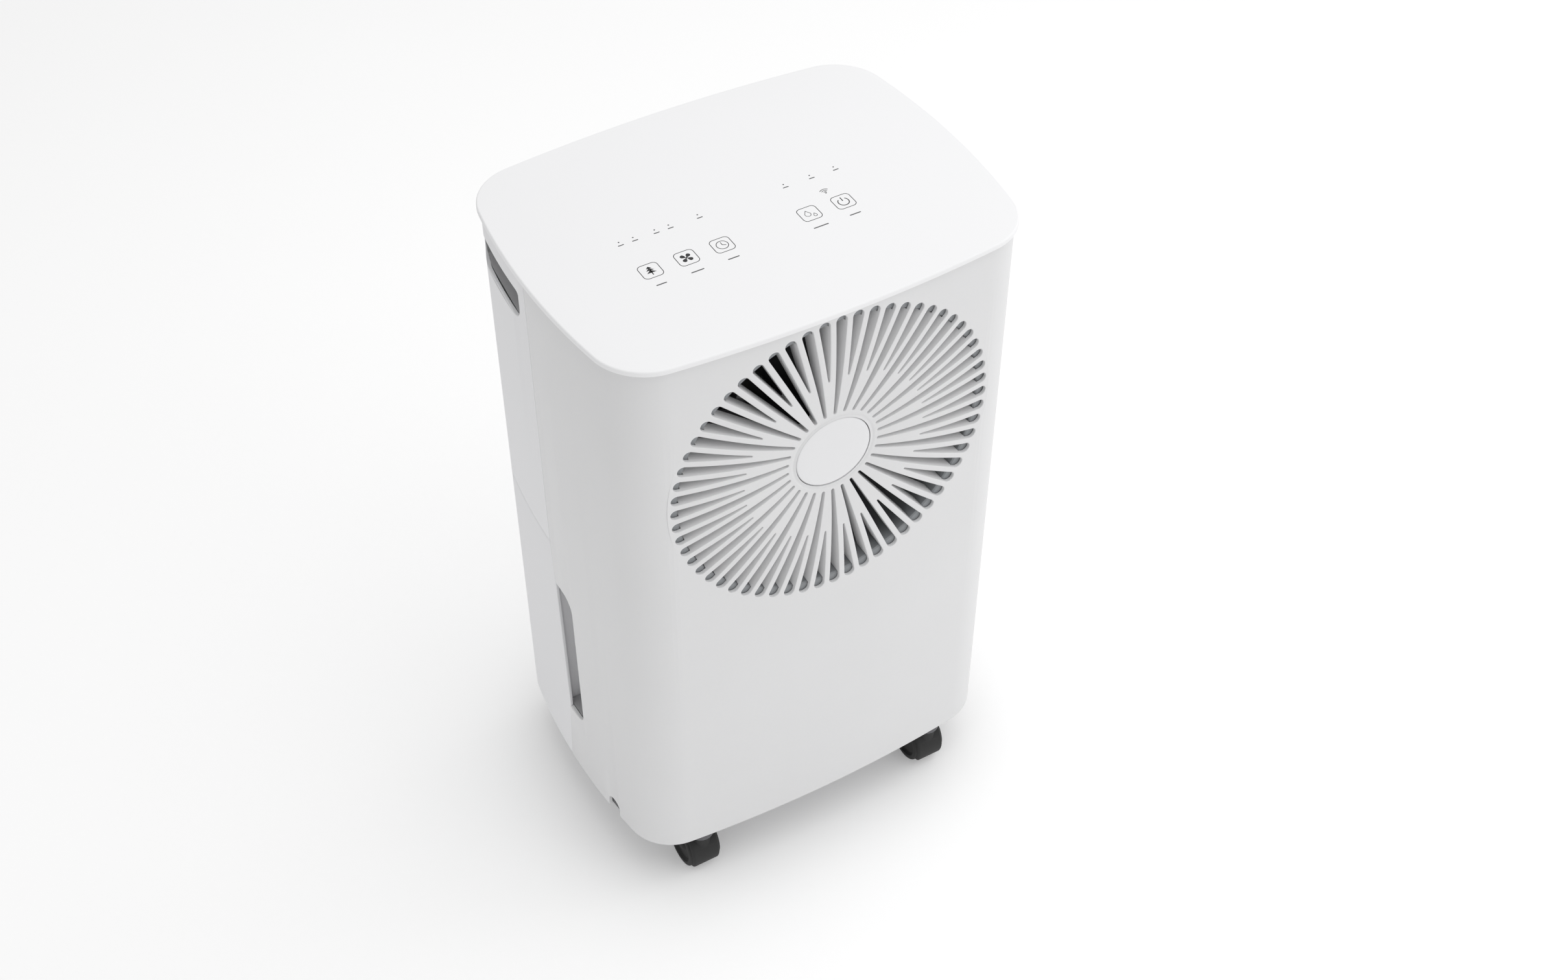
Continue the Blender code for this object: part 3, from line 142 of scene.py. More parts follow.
class Tree:
    """The node tree of one material, with one way to add a node."""

    def __init__(self, material: bpy.types.Material) -> None:
        """Clears the material's tree and adds its output and its shader."""
        material.use_nodes = True
        self.nodes = material.node_tree.nodes
        self.links = material.node_tree.links
        self.nodes.clear()
        output = self.nodes.new("ShaderNodeOutputMaterial")
        self.shader = self.nodes.new("ShaderNodeBsdfPrincipled")
        self.links.new(self.shader.outputs[0], output.inputs[0])

    def add(self, kind: str, settings: dict | None = None, inputs: dict | None = None,
            output: int | str = 0) -> Signal:
        """Adds one node.

        Args:
            kind: The node's type without its common prefix.
            settings: Properties of the node, set first.
            inputs: Values or signals of its sockets, by name or number.
            output: The socket that is handed back.

        Returns:
            The signal of that output.
        """
        node = self.nodes.new("ShaderNode" + kind)
        for name, value in (settings or {}).items():
            setattr(node, name, value)
        for name, value in (inputs or {}).items():
            self.feed(node.inputs[name], value)
        return Signal(self, node.outputs[output])

    def feed(self, socket: bpy.types.NodeSocket, value: "Signal | float | Sequence[float]") -> None:
        """Links a signal to a socket, or sets the socket's own value."""
        if isinstance(value, Signal):
            self.links.new(value.socket, socket)
        else:
            socket.default_value = value

    def give(self, **values: "Signal | float | Sequence[float]") -> None:
        """Feeds the shader's sockets, named with underscores for spaces."""
        for name, value in values.items():
            self.feed(self.shader.inputs[name.replace("_", " ")], value)

    def place(self) -> Signal:
        """Position in the piece's own space, in metres."""
        return self.add("TexCoord", output="Object")

    def stretched(self, scale: Point) -> Signal:
        """Position with each direction scaled."""
        return self.add("Mapping", {"vector_type": "POINT"}, {"Vector": self.place(), "Scale": scale})

    def axis(self, name: str) -> Signal:
        """One coordinate of the position."""
        return self.add("SeparateXYZ", inputs={0: self.place()}, output=name)

    def noise(self, scale: float, detail: float = 2.0, at: Signal | None = None) -> Signal:
        """Noise about a half, at a number of cells for each metre."""
        return self.add("TexNoise", {"noise_dimensions": "3D"},
                        {"Vector": at or self.place(), "Scale": scale, "Detail": detail,
                         "Roughness": 0.55}, "Fac")

    def cells(self, scale: float, feature: str = "F1", at: Signal | None = None) -> Signal:
        """Distance inside the cells of a Voronoi pattern."""
        return self.add("TexVoronoi", {"feature": feature}, {"Vector": at or self.place(), "Scale": scale},
                        "Distance")

    def mix(self, share: "Signal | float", first: Sequence[float], second: Sequence[float]) -> Signal:
        """A blend of two colours."""
        return self.add("Mix", {"data_type": "RGBA"}, {0: share, 6: (*first, 1), 7: (*second, 1)}, 2)

    def bump(self, height: Signal, distance: float, strength: float = 1.0) -> Signal:
        """A bumped normal whose height is in shares of a distance."""
        return self.add("Bump", inputs={"Height": height, "Distance": distance, "Strength": strength})


# ---------------------------------------------------------------------------------------------
# Finishes
# ---------------------------------------------------------------------------------------------


@dataclass(frozen=True)
class Finish:
    """A surface finish, which makes its material once.

    Attributes:
        name: The material's name.
        colour: Its main colour.
        roughness: Its middle roughness.
    """

    name: str
    colour: Point
    roughness: float

    def shade(self, factor: float) -> Point:
        """The main colour made darker or lighter."""
        return tuple(min(1.0, part * factor) for part in self.colour)

    def material(self) -> bpy.types.Material:
        """The material of this finish."""
        found = bpy.data.materials.get(self.name)
        if found:
            return found
        made = bpy.data.materials.new(self.name)
        made.diffuse_color = (*self.colour, 1)
        self.dress(Tree(made))
        return made

    def dress(self, tree: Tree) -> None:
        """Adds this finish's own nodes."""
        raise NotImplementedError


@dataclass(frozen=True)
class Moulded(Finish):
    """Injection-moulded plastic with a fine spark-eroded grain, flow marks and light handling rub.

    Attributes:
        grain: Cells of the grain for each metre.
        grain_depth: Height of the grain.
        cloudiness: How far the colour drifts.
        sheen: Weight of the glossy skin.
    """

    grain: float = 1500.0
    grain_depth: float = 0.00002
    cloudiness: float = 0.03
    sheen: float = 0.0

    def dress(self, tree: Tree) -> None:
        """Adds the drift of colour, the rubbed patches and the grain."""
        drift = tree.noise(9.0, 3.0)
        speck = tree.noise(420.0, 1.0)
        flow = tree.noise(26.0, 4.0, tree.stretched((1.0, 1.0, 0.18)))
        share = drift * 0.7 + speck * 0.3
        colour = tree.mix(share, self.shade(1 - self.cloudiness), self.shade(1 + self.cloudiness))
        grain = tree.noise(self.grain, 2.0) * 0.75 + flow * 0.25
        tree.give(Base_Color=colour, Roughness=flow * 0.14 + (self.roughness - 0.07),
                  Normal=tree.bump(grain, self.grain_depth), Specular_IOR_Level=0.5,
                  Coat_Weight=self.sheen, Coat_Roughness=0.22)


@dataclass(frozen=True)
class Enamel(Finish):
    """Sprayed gloss enamel with orange peel and a few dull patches."""

    def dress(self, tree: Tree) -> None:
        """Adds the orange peel and the patches."""
        peel = tree.noise(700.0, 1.0)
        patch = tree.noise(30.0, 4.0)
        tree.give(Base_Color=tree.mix(patch, self.shade(0.75), self.shade(1.4)),
                  Roughness=patch * 0.25 + (self.roughness - 0.1), Coat_Weight=0.5,
                  Coat_Roughness=0.12, Normal=tree.bump(peel, 0.00004))


@dataclass(frozen=True)
class Metal(Finish):
    """Rolled or drawn metal with streaks along one direction.

    Attributes:
        stretch: How the streaks are drawn out along X, Y and Z.
        tarnish: How much darker its dull patches are.
    """

    stretch: Point = (1.0, 1.0, 0.04)
    tarnish: float = 0.25

    def dress(self, tree: Tree) -> None:
        """Adds the streaks and the tarnish."""
        streak = tree.noise(900.0, 3.0, tree.stretched(self.stretch))
        patch = tree.noise(38.0, 4.0)
        tree.give(Base_Color=tree.mix(patch, self.shade(1 - self.tarnish), self.shade(1.05)), Metallic=1.0,
                  Roughness=streak * 0.16 + patch * 0.2 + (self.roughness - 0.18),
                  Normal=tree.bump(streak, 0.00003))


@dataclass(frozen=True)
class Fins(Finish):
    """Stacked thin fins, shown as fine upright lines across the width.

    Attributes:
        pitch: Distance from fin to fin.
    """

    pitch: float = 0.0016

    def dress(self, tree: Tree) -> None:
        """Adds the lines, their shadows and a ripple along each fin."""
        line = (tree.axis("X") * (2 * math.pi / self.pitch)).sine() * 0.5 + 0.5
        ripple = (tree.axis("Z") * (2 * math.pi / 0.0022)).sine() * 0.1
        dull = tree.noise(60.0, 3.0)
        share = line * 0.75 + dull * 0.25
        tree.give(Base_Color=tree.mix(share, self.shade(0.35), self.shade(1.0)), Metallic=0.9,
                  Roughness=dull * 0.25 + (self.roughness - 0.1),
                  Normal=tree.bump(line + ripple, 0.0004))


@dataclass(frozen=True)
class Rubber(Finish):
    """Soft matt rubber with bloom."""

    def dress(self, tree: Tree) -> None:
        """Adds the bloom and a fine tooth."""
        bloom = tree.noise(70.0, 4.0)
        tree.give(Base_Color=tree.mix(bloom, self.shade(0.7), self.shade(1.9)),
                  Roughness=bloom * 0.2 + (self.roughness - 0.1),
                  Normal=tree.bump(tree.noise(2200.0), 0.00003))


@dataclass(frozen=True)
class Board(Finish):
    """Solder-masked circuit board with tracks, pads and vias."""

    def dress(self, tree: Tree) -> None:
        """Adds the tracks and the pads."""
        tracks = tree.add("TexBrick", {"offset": 0.37, "squash": 1.3}, {
            "Vector": tree.place(), "Scale": 90.0, "Mortar Size": 0.03, "Mortar Smooth": 0.2,
            "Color1": (0, 0, 0, 1), "Color2": (0, 0, 0, 1), "Mortar": (1, 1, 1, 1)}, "Fac")
        pads = 1 - (tree.cells(260.0) * 2.2 > 0.42)
        share = tracks.largest(pads)
        tree.give(Base_Color=tree.mix(share, self.shade(0.8), (0.30, 0.42, 0.16)),
                  Roughness=share * -0.15 + self.roughness, Coat_Weight=0.3,
                  Normal=tree.bump(share, 0.00005))


@dataclass(frozen=True)
class Foam(Finish):
    """Closed-cell foamed plastic."""

    def dress(self, tree: Tree) -> None:
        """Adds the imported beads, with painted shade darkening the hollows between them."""
        bead = tree.cells(420.0, "SMOOTH_F1")
        # Painted shade: the colour is lighter on the bead tops and darker in the hollows between the beads.
        tree.give(Base_Color=tree.mix(bead, self.shade(1.15), self.shade(0.7)),
                  Roughness=bead * 0.2 + (self.roughness - 0.05), Normal=tree.bump(1 - bead, 0.0002))


@dataclass(frozen=True)
class Gauze(Finish):
    """A fine woven screen in a plain frame.

    Attributes:
        pitch: Distance from thread to thread.
    """

    pitch: float = 0.0013

    def dress(self, tree: Tree) -> None:
        """Adds the two sets of threads, with painted shade darkening the gaps between them."""
        turn = 2 * math.pi / self.pitch
        upright = (tree.axis("X") * turn).sine()
        level = (tree.axis("Z") * turn).sine()
        weave = upright.largest(level) * 0.5 + 0.5
        dust = tree.noise(45.0, 4.0)
        # Painted shade: the colour darkens in the gaps between the threads.
        tree.give(Base_Color=tree.mix(weave, self.shade(0.35), self.shade(1.1)),
                  Roughness=dust * 0.2 + (self.roughness - 0.1), Normal=tree.bump(weave, 0.0003))


@dataclass(frozen=True)
class Glass(Finish):
    """Clear drawn glass with faint streaks."""

    def dress(self, tree: Tree) -> None:
        """Adds the streaks."""
        streak = tree.noise(500.0, 2.0, tree.stretched((0.05, 1.0, 1.0)))
        tree.give(Base_Color=tree.mix(streak, self.shade(0.92), self.shade(1.0)),
                  Roughness=streak * 0.1 + (self.roughness - 0.04), Transmission_Weight=0.9, IOR=1.47,
                  Normal=tree.bump(streak, 0.00002))


@dataclass(frozen=True)
class Ink(Finish):
    """Pad-printed ink with uneven cover."""

    def dress(self, tree: Tree) -> None:
        """Adds the uneven cover."""
        cover = tree.noise(600.0, 3.0)
        tree.give(Base_Color=tree.mix(cover, self.shade(0.9), self.shade(1.12)),
                  Roughness=cover * 0.15 + (self.roughness - 0.07), Normal=tree.bump(cover, 0.00001))


class Coat(Enum):
    """The finishes of the pieces."""

    # Painted shade: the front shell and the outlet grille take a darker copy of the casing white, which
    # paints the shading step at the seam between front and back.
    FRONT_WHITE = Moulded("front_white", (0.775, 0.775, 0.780), 0.42)
    CASING_WHITE = Moulded("casing_white", (0.875, 0.875, 0.880), 0.42)
    LID_WHITE = Moulded("lid_white", (0.84, 0.84, 0.845), 0.34, 2400.0, 0.00001, 0.012, 0.25)
    CAP_WHITE = Moulded("cap_white", (0.83, 0.83, 0.84), 0.24, 2400.0, 0.00001, 0.012, 0.5)
    RECESS_GREY = Moulded("recess_grey", (0.40, 0.40, 0.41), 0.55)
    INNER_GREY = Moulded("inner_grey", (0.16, 0.165, 0.17), 0.60)
    BASE_GREY = Moulded("base_grey", (0.085, 0.085, 0.09), 0.60)
    CASTOR_BLACK = Moulded("castor_black", (0.006, 0.006, 0.0065), 0.50, 900.0, 0.00003, 0.15)
    FAN_BLACK = Moulded("fan_black", (0.010, 0.010, 0.011), 0.50, 900.0, 0.00003, 0.15)
    STEEL = Metal("steel", (0.58, 0.58, 0.60), 0.38)
    COPPER = Metal("copper", (0.80, 0.40, 0.24), 0.34, (1.0, 1.0, 1.0), 0.4)
    FIN_ALUMINIUM = Fins("fin_aluminium", (0.72, 0.74, 0.76), 0.38)
    COMPRESSOR_BLACK = Enamel("compressor_black", (0.018, 0.018, 0.019), 0.32)
    RUBBER = Rubber("rubber", (0.022, 0.022, 0.023), 0.80)
    BOARD_GREEN = Board("board_green", (0.03, 0.16, 0.07), 0.45)
    FLOAT_BLUE = Foam("float_blue", (0.22, 0.42, 0.68), 0.60)
    FILTER_GREY = Gauze("filter_grey", (0.34, 0.36, 0.38), 0.75)
    LAMP_GLASS = Glass("lamp_glass", (0.86, 0.90, 0.98), 0.08)
    DARK_INK = Ink("dark_ink", (0.030, 0.030, 0.032), 0.45)
    PALE_INK = Ink("pale_ink", (0.12, 0.12, 0.125), 0.45)

    @property
    def material(self) -> bpy.types.Material:
        """The material of this finish."""
        return self.value.material()


# ---------------------------------------------------------------------------------------------
# Mesh making
# ---------------------------------------------------------------------------------------------


@cache
def box_of(node: str) -> tuple[Vector, Vector]:
    """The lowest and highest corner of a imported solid, read once."""
    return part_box(node)


def arc(centre: Flat, radius: float, first: float, last: float, steps: int) -> list[Flat]:
    """Points of an arc from one angle to another, with both ends."""
    turns = [first + (last - first) * i / steps for i in range(steps + 1)]
    return [(centre[0] + radius * math.cos(t), centre[1] + radius * math.sin(t)) for t in turns]


def level(plan: Sequence[Flat], height: float) -> list[Point]:
    """The plan's points at one height."""
    return [(x, y, height) for x, y in plan]


def solid(name: str, points: Sequence[Sequence[float]], faces: Sequence[Sequence[int]],
          weld: bool = False) -> bpy.types.Object:
    """Makes a closed object whose faces look outwards.

    Args:
        name: The object's name.
        points: Its corners.
        faces: Its faces, as numbers of corners.
        weld: Whether corners in the same place become one.

    Returns:
        The object, linked to the scene.
    """
    shape = bmesh.new()
    corners = [shape.verts.new(point) for point in points]
    for face in faces:
        shape.faces.new([corners[i] for i in face])
    if weld:
        bmesh.ops.remove_doubles(shape, verts=shape.verts, dist=2e-6)
        bmesh.ops.dissolve_degenerate(shape, dist=1e-7, edges=shape.edges)
    bmesh.ops.recalc_face_normals(shape, faces=shape.faces)
    mesh = bpy.data.meshes.new(name)
    shape.to_mesh(mesh)
    shape.free()
    return smooth(link(name, mesh))


def link(name: str, mesh: bpy.types.Mesh) -> bpy.types.Object:
    """Puts a mesh in the scene as an object."""
    made = bpy.data.objects.new(name, mesh)
    bpy.context.scene.collection.objects.link(made)
    return made


def smooth(thing: bpy.types.Object, angle: float = SHARP_ANGLE) -> bpy.types.Object:
    """Shades an object smooth, with sharp edges where its faces meet above an angle."""
    thing.data.shade_smooth()
    thing.data.set_sharp_from_angle(angle=angle)
    return thing


def loft(name: str, loops: Sequence[Sequence[Point]], ring: bool = False) -> bpy.types.Object:
    """A solid through loops of equal count, capped at both ends or closed into a ring."""
    count = len(loops[0])
    points = [point for loop in loops for point in loop]
    pairs = [(n, n + 1) for n in range(len(loops) - 1)]
    faces: list[list[int]] = []
    if ring:
        pairs.append((len(loops) - 1, 0))
    else:
        faces += [list(range(count)), list(range(len(points) - count, len(points)))]
    for a, b in pairs:
        for i in range(count):
            j = (i + 1) % count
            faces.append([a * count + i, a * count + j, b * count + j, b * count + i])
    return solid(name, points, faces)


def turned(axis: str) -> Matrix:
    """The turn that takes +Z to an axis."""
    turns = {"X": Matrix(((0, 0, 1), (1, 0, 0), (0, 1, 0))),
             "Y": Matrix(((1, 0, 0), (0, 0, 1), (0, 1, 0))), "Z": Matrix.Identity(3)}
    return turns[axis]


def extrusion(name: str, outline: Sequence[Flat], low: float, high: float,
              axis: str = "Z") -> bpy.types.Object:
    """An outline pushed along an axis: (y, z) along X, (x, z) along Y, (x, y) along Z."""
    turn = turned(axis)
    return loft(name, [[tuple(turn @ Vector((a, b, end))) for a, b in outline] for end in (low, high)])


def lathe(name: str, profile: Sequence[Flat], at: Sequence[float], axis: str = "Z", steps: int = 48,
          ring: bool = False, lift: Callable[[Vector, int], Vector] | None = None) -> bpy.types.Object:
    """A turned solid.

    Args:
        name: The object's name.
        profile: (radius, height) points; a first or last radius of nought closes the solid.
        at: Where the profile's origin goes.
        axis: The axis that it turns about.
        steps: Sides of the turned shape.
        ring: Whether the profile closes on itself.
        lift: Moves a finished point, given its place and its number in the profile.

    Returns:
        The object.
    """
    turn, base = turned(axis), Vector(at)
    rows: list[list[int]] = []
    points: list[Vector] = []
    for number, (radius, height) in enumerate(profile):
        row = []
        for i in range(steps if radius > 0 else 1):
            angle = 2 * math.pi * i / steps
            point = turn @ Vector((radius * math.cos(angle), radius * math.sin(angle), height)) + base
            row.append(len(points))
            points.append(lift(point, number) if lift else point)
        rows.append(row)
    faces = []
    for first, second in zip(rows, rows[1:] + rows[:1] if ring else rows[1:]):
        for i in range(steps):
            j = (i + 1) % steps
            corners = [first[i % len(first)], first[j % len(first)],
                       second[j % len(second)], second[i % len(second)]]
            face = list(dict.fromkeys(corners))
            if len(face) > 2:
                faces.append(face)
    return solid(name, points, faces)


def rod(name: str, radius: float, low: float, high: float, at: Sequence[float], axis: str = "Z",
        steps: int = 40, edge: float = 0.0) -> bpy.types.Object:
    """A round bar between two positions on an axis, with its end edges eased."""
    ease = [(radius - edge, high), (radius, high - edge), (radius, low + edge), (radius - edge, low)]
    profile = ease if edge else [(radius, high), (radius, low)]
    return lathe(name, [(0.0, high), *profile, (0.0, low)], at, axis, steps)


def box(name: str, low: Sequence[float], high: Sequence[float]) -> bpy.types.Object:
    """A block between two corners, used to cut other shapes."""
    return extrusion(name, rectangle(low, high), low[2], high[2])


def rectangle(low: Sequence[float], high: Sequence[float]) -> list[Flat]:
    """A rectangle's corners, from the lower left anticlockwise."""
    return [(low[0], low[1]), (high[0], low[1]), (high[0], high[1]), (low[0], high[1])]


def rounded(corners: Sequence[Flat], radii: Sequence[float], steps: int = 8) -> list[Flat]:
    """A convex outline with a radius at each corner, for corners in anticlockwise order."""
    points: list[Flat] = []
    for i, (corner, radius) in enumerate(zip(corners, radii)):
        if not radius:
            points.append(corner)
            continue
        here = Vector(corner)
        before = (Vector(corners[i - 1]) - here).normalized()
        after = (Vector(corners[(i + 1) % len(corners)]) - here).normalized()
        half = before.angle(after) / 2
        centre = here + (before + after).normalized() * radius / math.sin(half)
        start = here + before * radius / math.tan(half) - centre
        first = math.atan2(start.y, start.x)
        points += arc(tuple(centre), radius, first, first + math.pi - 2 * half, steps)
    return points


def evaluated(thing: bpy.types.Object) -> bpy.types.Mesh:
    """A mesh of the object with its modifiers applied."""
    bpy.context.view_layer.update()
    return bpy.data.meshes.new_from_object(thing.evaluated_get(bpy.context.evaluated_depsgraph_get()))


def settle(thing: bpy.types.Object) -> bpy.types.Object:
    """Applies the object's modifiers to its mesh."""
    mesh = evaluated(thing)
    thing.modifiers.clear()
    mesh.name = thing.name
    thing.data = mesh
    return smooth(thing)


def combine(thing: bpy.types.Object, others: Sequence[bpy.types.Object],
            operation: str) -> bpy.types.Object:
    """Applies a Boolean of each other solid to the object, and removes those solids."""
    for other in others:
        modifier = thing.modifiers.new(other.name, "BOOLEAN")
        modifier.operation = operation
        modifier.solver = "EXACT"
        modifier.object = other
    settle(thing)
    for other in others:
        bpy.data.objects.remove(other)
    return thing


def carve(thing: bpy.types.Object, *others: bpy.types.Object) -> bpy.types.Object:
    """Cuts each other solid from the object."""
    return combine(thing, others, "DIFFERENCE")


def fuse(thing: bpy.types.Object, *others: bpy.types.Object) -> bpy.types.Object:
    """Joins each other solid to the object."""
    return combine(thing, others, "UNION")


def ease(thing: bpy.types.Object, width: float, segments: int = 2, angle: float = 50.0,
         keep: bool = False) -> bpy.types.Object:
    """Rounds the object's sharper edges.

    Args:
        thing: The object.
        width: Width of the rounding.
        segments: Facets across it.
        angle: Least angle between two faces, in degrees.
        keep: Whether the rounding stays a modifier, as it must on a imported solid.

    Returns:
        The same object.
    """
    modifier = thing.modifiers.new("eased edges", "BEVEL")
    modifier.width = width
    modifier.segments = segments
    modifier.limit_method = "ANGLE"
    modifier.angle_limit = math.radians(angle)
    modifier.harden_normals = False
    return thing if keep else settle(thing)


def join(name: str, things: Sequence[bpy.types.Object]) -> bpy.types.Object:
    """One object of several closed ones that stand side by side."""
    shape = bmesh.new()
    for thing in things:
        shape.from_mesh(thing.data)
        bpy.data.objects.remove(thing)
    mesh = bpy.data.meshes.new(name)
    shape.to_mesh(mesh)
    shape.free()
    return smooth(link(name, mesh))


# ---------------------------------------------------------------------------------------------
# The casing's plan
# ---------------------------------------------------------------------------------------------


@dataclass(frozen=True)
class CasingPlan:
    """Plan of the casing: four large arcs with round corners, measured at the lid's edge.

    Attributes:
        front_radius: Radius of the front and back arcs.
        side_radius: Radius of the side arcs.
        corner_radius: Radius of the corners.
        overhang: How far the lid stands out past the walls.
        wall: Thickness of the walls.
        seam_gap: Gap of a seam between two walls.
        steps: Facets of a side's half, a corner and the front's half.
    """

    front_radius: float = 1.203
    side_radius: float = 0.562
    corner_radius: float = 0.0433
    overhang: float = 0.0027
    wall: float = 0.0028
    seam_gap: float = 0.0005
    steps: tuple[int, int, int] = (12, 16, 30)

    @property
    def half_width(self) -> float:
        """Half the lid's width."""
        return box_of("top_lid")[1].x

    @property
    def half_depth(self) -> float:
        """Half the lid's depth."""
        return box_of("top_lid")[1].y

    @property
    def front_y(self) -> float:
        """Y of the front wall's face at its middle."""
        return self.overhang - self.half_depth

    @property
    def inside(self) -> float:
        """Inset of the walls' inner faces."""
        return self.overhang + self.wall

    @property
    def seam_y(self) -> float:
        """Y of the seam between the front and the back."""
        return box_of("front_shell")[1].y + self.seam_gap / 2

    def corner_centre(self) -> Vector:
        """Centre of the front right corner's arc."""
        front = Vector((0, self.front_radius - self.half_depth))
        side = Vector((self.half_width - self.side_radius, 0))
        to_front = self.front_radius - self.corner_radius
        to_side = self.side_radius - self.corner_radius
        span = side - front
        along = (span.length_squared + to_front**2 - to_side**2) / (2 * span.length)
        across = math.sqrt(to_front**2 - along**2)
        way = span.normalized()
        return front + way * along + Vector((-way.y, way.x)) * across

    def quarter(self, inset: float, side_y: float) -> list[Flat]:
        """Points of the front right quarter, from the side arc at side_y to the front's middle."""
        corner = self.corner_centre()
        front = Vector((0, self.front_radius - self.half_depth))
        side = Vector((self.half_width - self.side_radius, 0))
        side_turn = math.atan2(corner.y, corner.x - side.x)
        front_turn = math.atan2(corner.y - front.y, corner.x)
        start = math.asin(side_y / (self.side_radius - inset))
        on_side, on_corner, on_front = self.steps
        points = arc(tuple(side), self.side_radius - inset, start, side_turn, on_side)
        points += arc(tuple(corner), self.corner_radius - inset, side_turn, front_turn, on_corner)[1:]
        points += arc(tuple(front), self.front_radius - inset, front_turn, -math.pi / 2, on_front)[1:]
        return points

    def half(self, inset: float, side_y: float) -> list[Flat]:
        """The front half, from the right side round the front to the left side."""
        right = self.quarter(inset, side_y)
        return right + [(-x, y) for x, y in reversed(right[:-1])]

    def rear(self, inset: float, side_y: float) -> list[Flat]:
        """The back half behind side_y, from the left side round the back to the right side."""
        return [(-x, -y) for x, y in self.half(inset, -side_y)]

    def full(self, inset: float) -> list[Flat]:
        """The whole plan as a closed loop."""
        return self.half(inset, 0)[:-1] + self.rear(inset, 0)[:-1]

    def side_x(self, y: float, inset: float) -> float:
        """X of the right side's arc at y."""
        return self.half_width - self.side_radius + math.sqrt((self.side_radius - inset) ** 2 - y**2)

    def sag(self, x: float, inset: float | None = None) -> float:
        """How far the front's arc has fallen back at x from its middle."""
        radius = self.front_radius - (self.overhang if inset is None else inset)
        return radius - math.sqrt(radius**2 - x**2)

    def wall_of(self, name: str, outer: Sequence[Flat], inner: Sequence[Flat], low: float,
                high: float) -> bpy.types.Object:
        """An open wall between two runs of plan points, with eased edges."""
        loops = [[(*o, low), (*i, low), (*i, high), (*o, high)] for o, i in zip(outer, inner)]
        return ease(loft(name, loops), 0.0007, 3)


PLAN = CasingPlan()


@dataclass
class Mouth:
    """An opening with a rounded mouth, cut through a curved wall.

    Attributes:
        outline: Gives the outline grown by a distance, in the two directions of the wall.
        surface: Gives a point of the wall's face for a point of the outline and a depth.
        radius: Radius of the mouth's rounding.
        reach: How deep the cut goes.
        facets: Facets of the rounding.
    """

    outline: Callable[[float], list[Flat]]
    surface: Callable[[Flat, float], Point]
    radius: float
    reach: float
    facets: int = 3

    def cutter(self, name: str) -> bpy.types.Object:
        """The solid that cuts this opening."""
        loops = [[self.surface(point, -PAST) for point in self.outline(self.radius)]]
        for i in range(self.facets + 1):
            turn = math.pi / 2 * i / self.facets
            grown = self.radius * (1 - math.sin(turn))
            depth = self.radius * (1 - math.cos(turn)) - 2e-5
            loops.append([self.surface(point, depth) for point in self.outline(grown)])
        loops.append([self.surface(point, self.reach) for point in self.outline(0.0)])
        return loft(name, loops)


# ---------------------------------------------------------------------------------------------
# Sub-assemblies
# ---------------------------------------------------------------------------------------------


class SubAssembly:
    """A group of pieces that is built and dressed together."""

    def build(self) -> None:
        """Builds the pieces."""
        raise NotImplementedError

    def fit(self, piece: bpy.types.Object, coat: Coat, body: str, slot: str,
            *nodes: str) -> bpy.types.Object:
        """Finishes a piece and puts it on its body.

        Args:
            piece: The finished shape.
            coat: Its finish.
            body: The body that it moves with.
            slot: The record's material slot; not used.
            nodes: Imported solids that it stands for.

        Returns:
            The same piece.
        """
        piece.data.materials.clear()
        piece.data.materials.append(coat.material)
        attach(piece, body)
        if nodes:
            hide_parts(*nodes)
        logger.info("%s: %s on %s, %d faces", type(self).__name__, piece.name, body,
                    len(piece.data.polygons))
        return piece


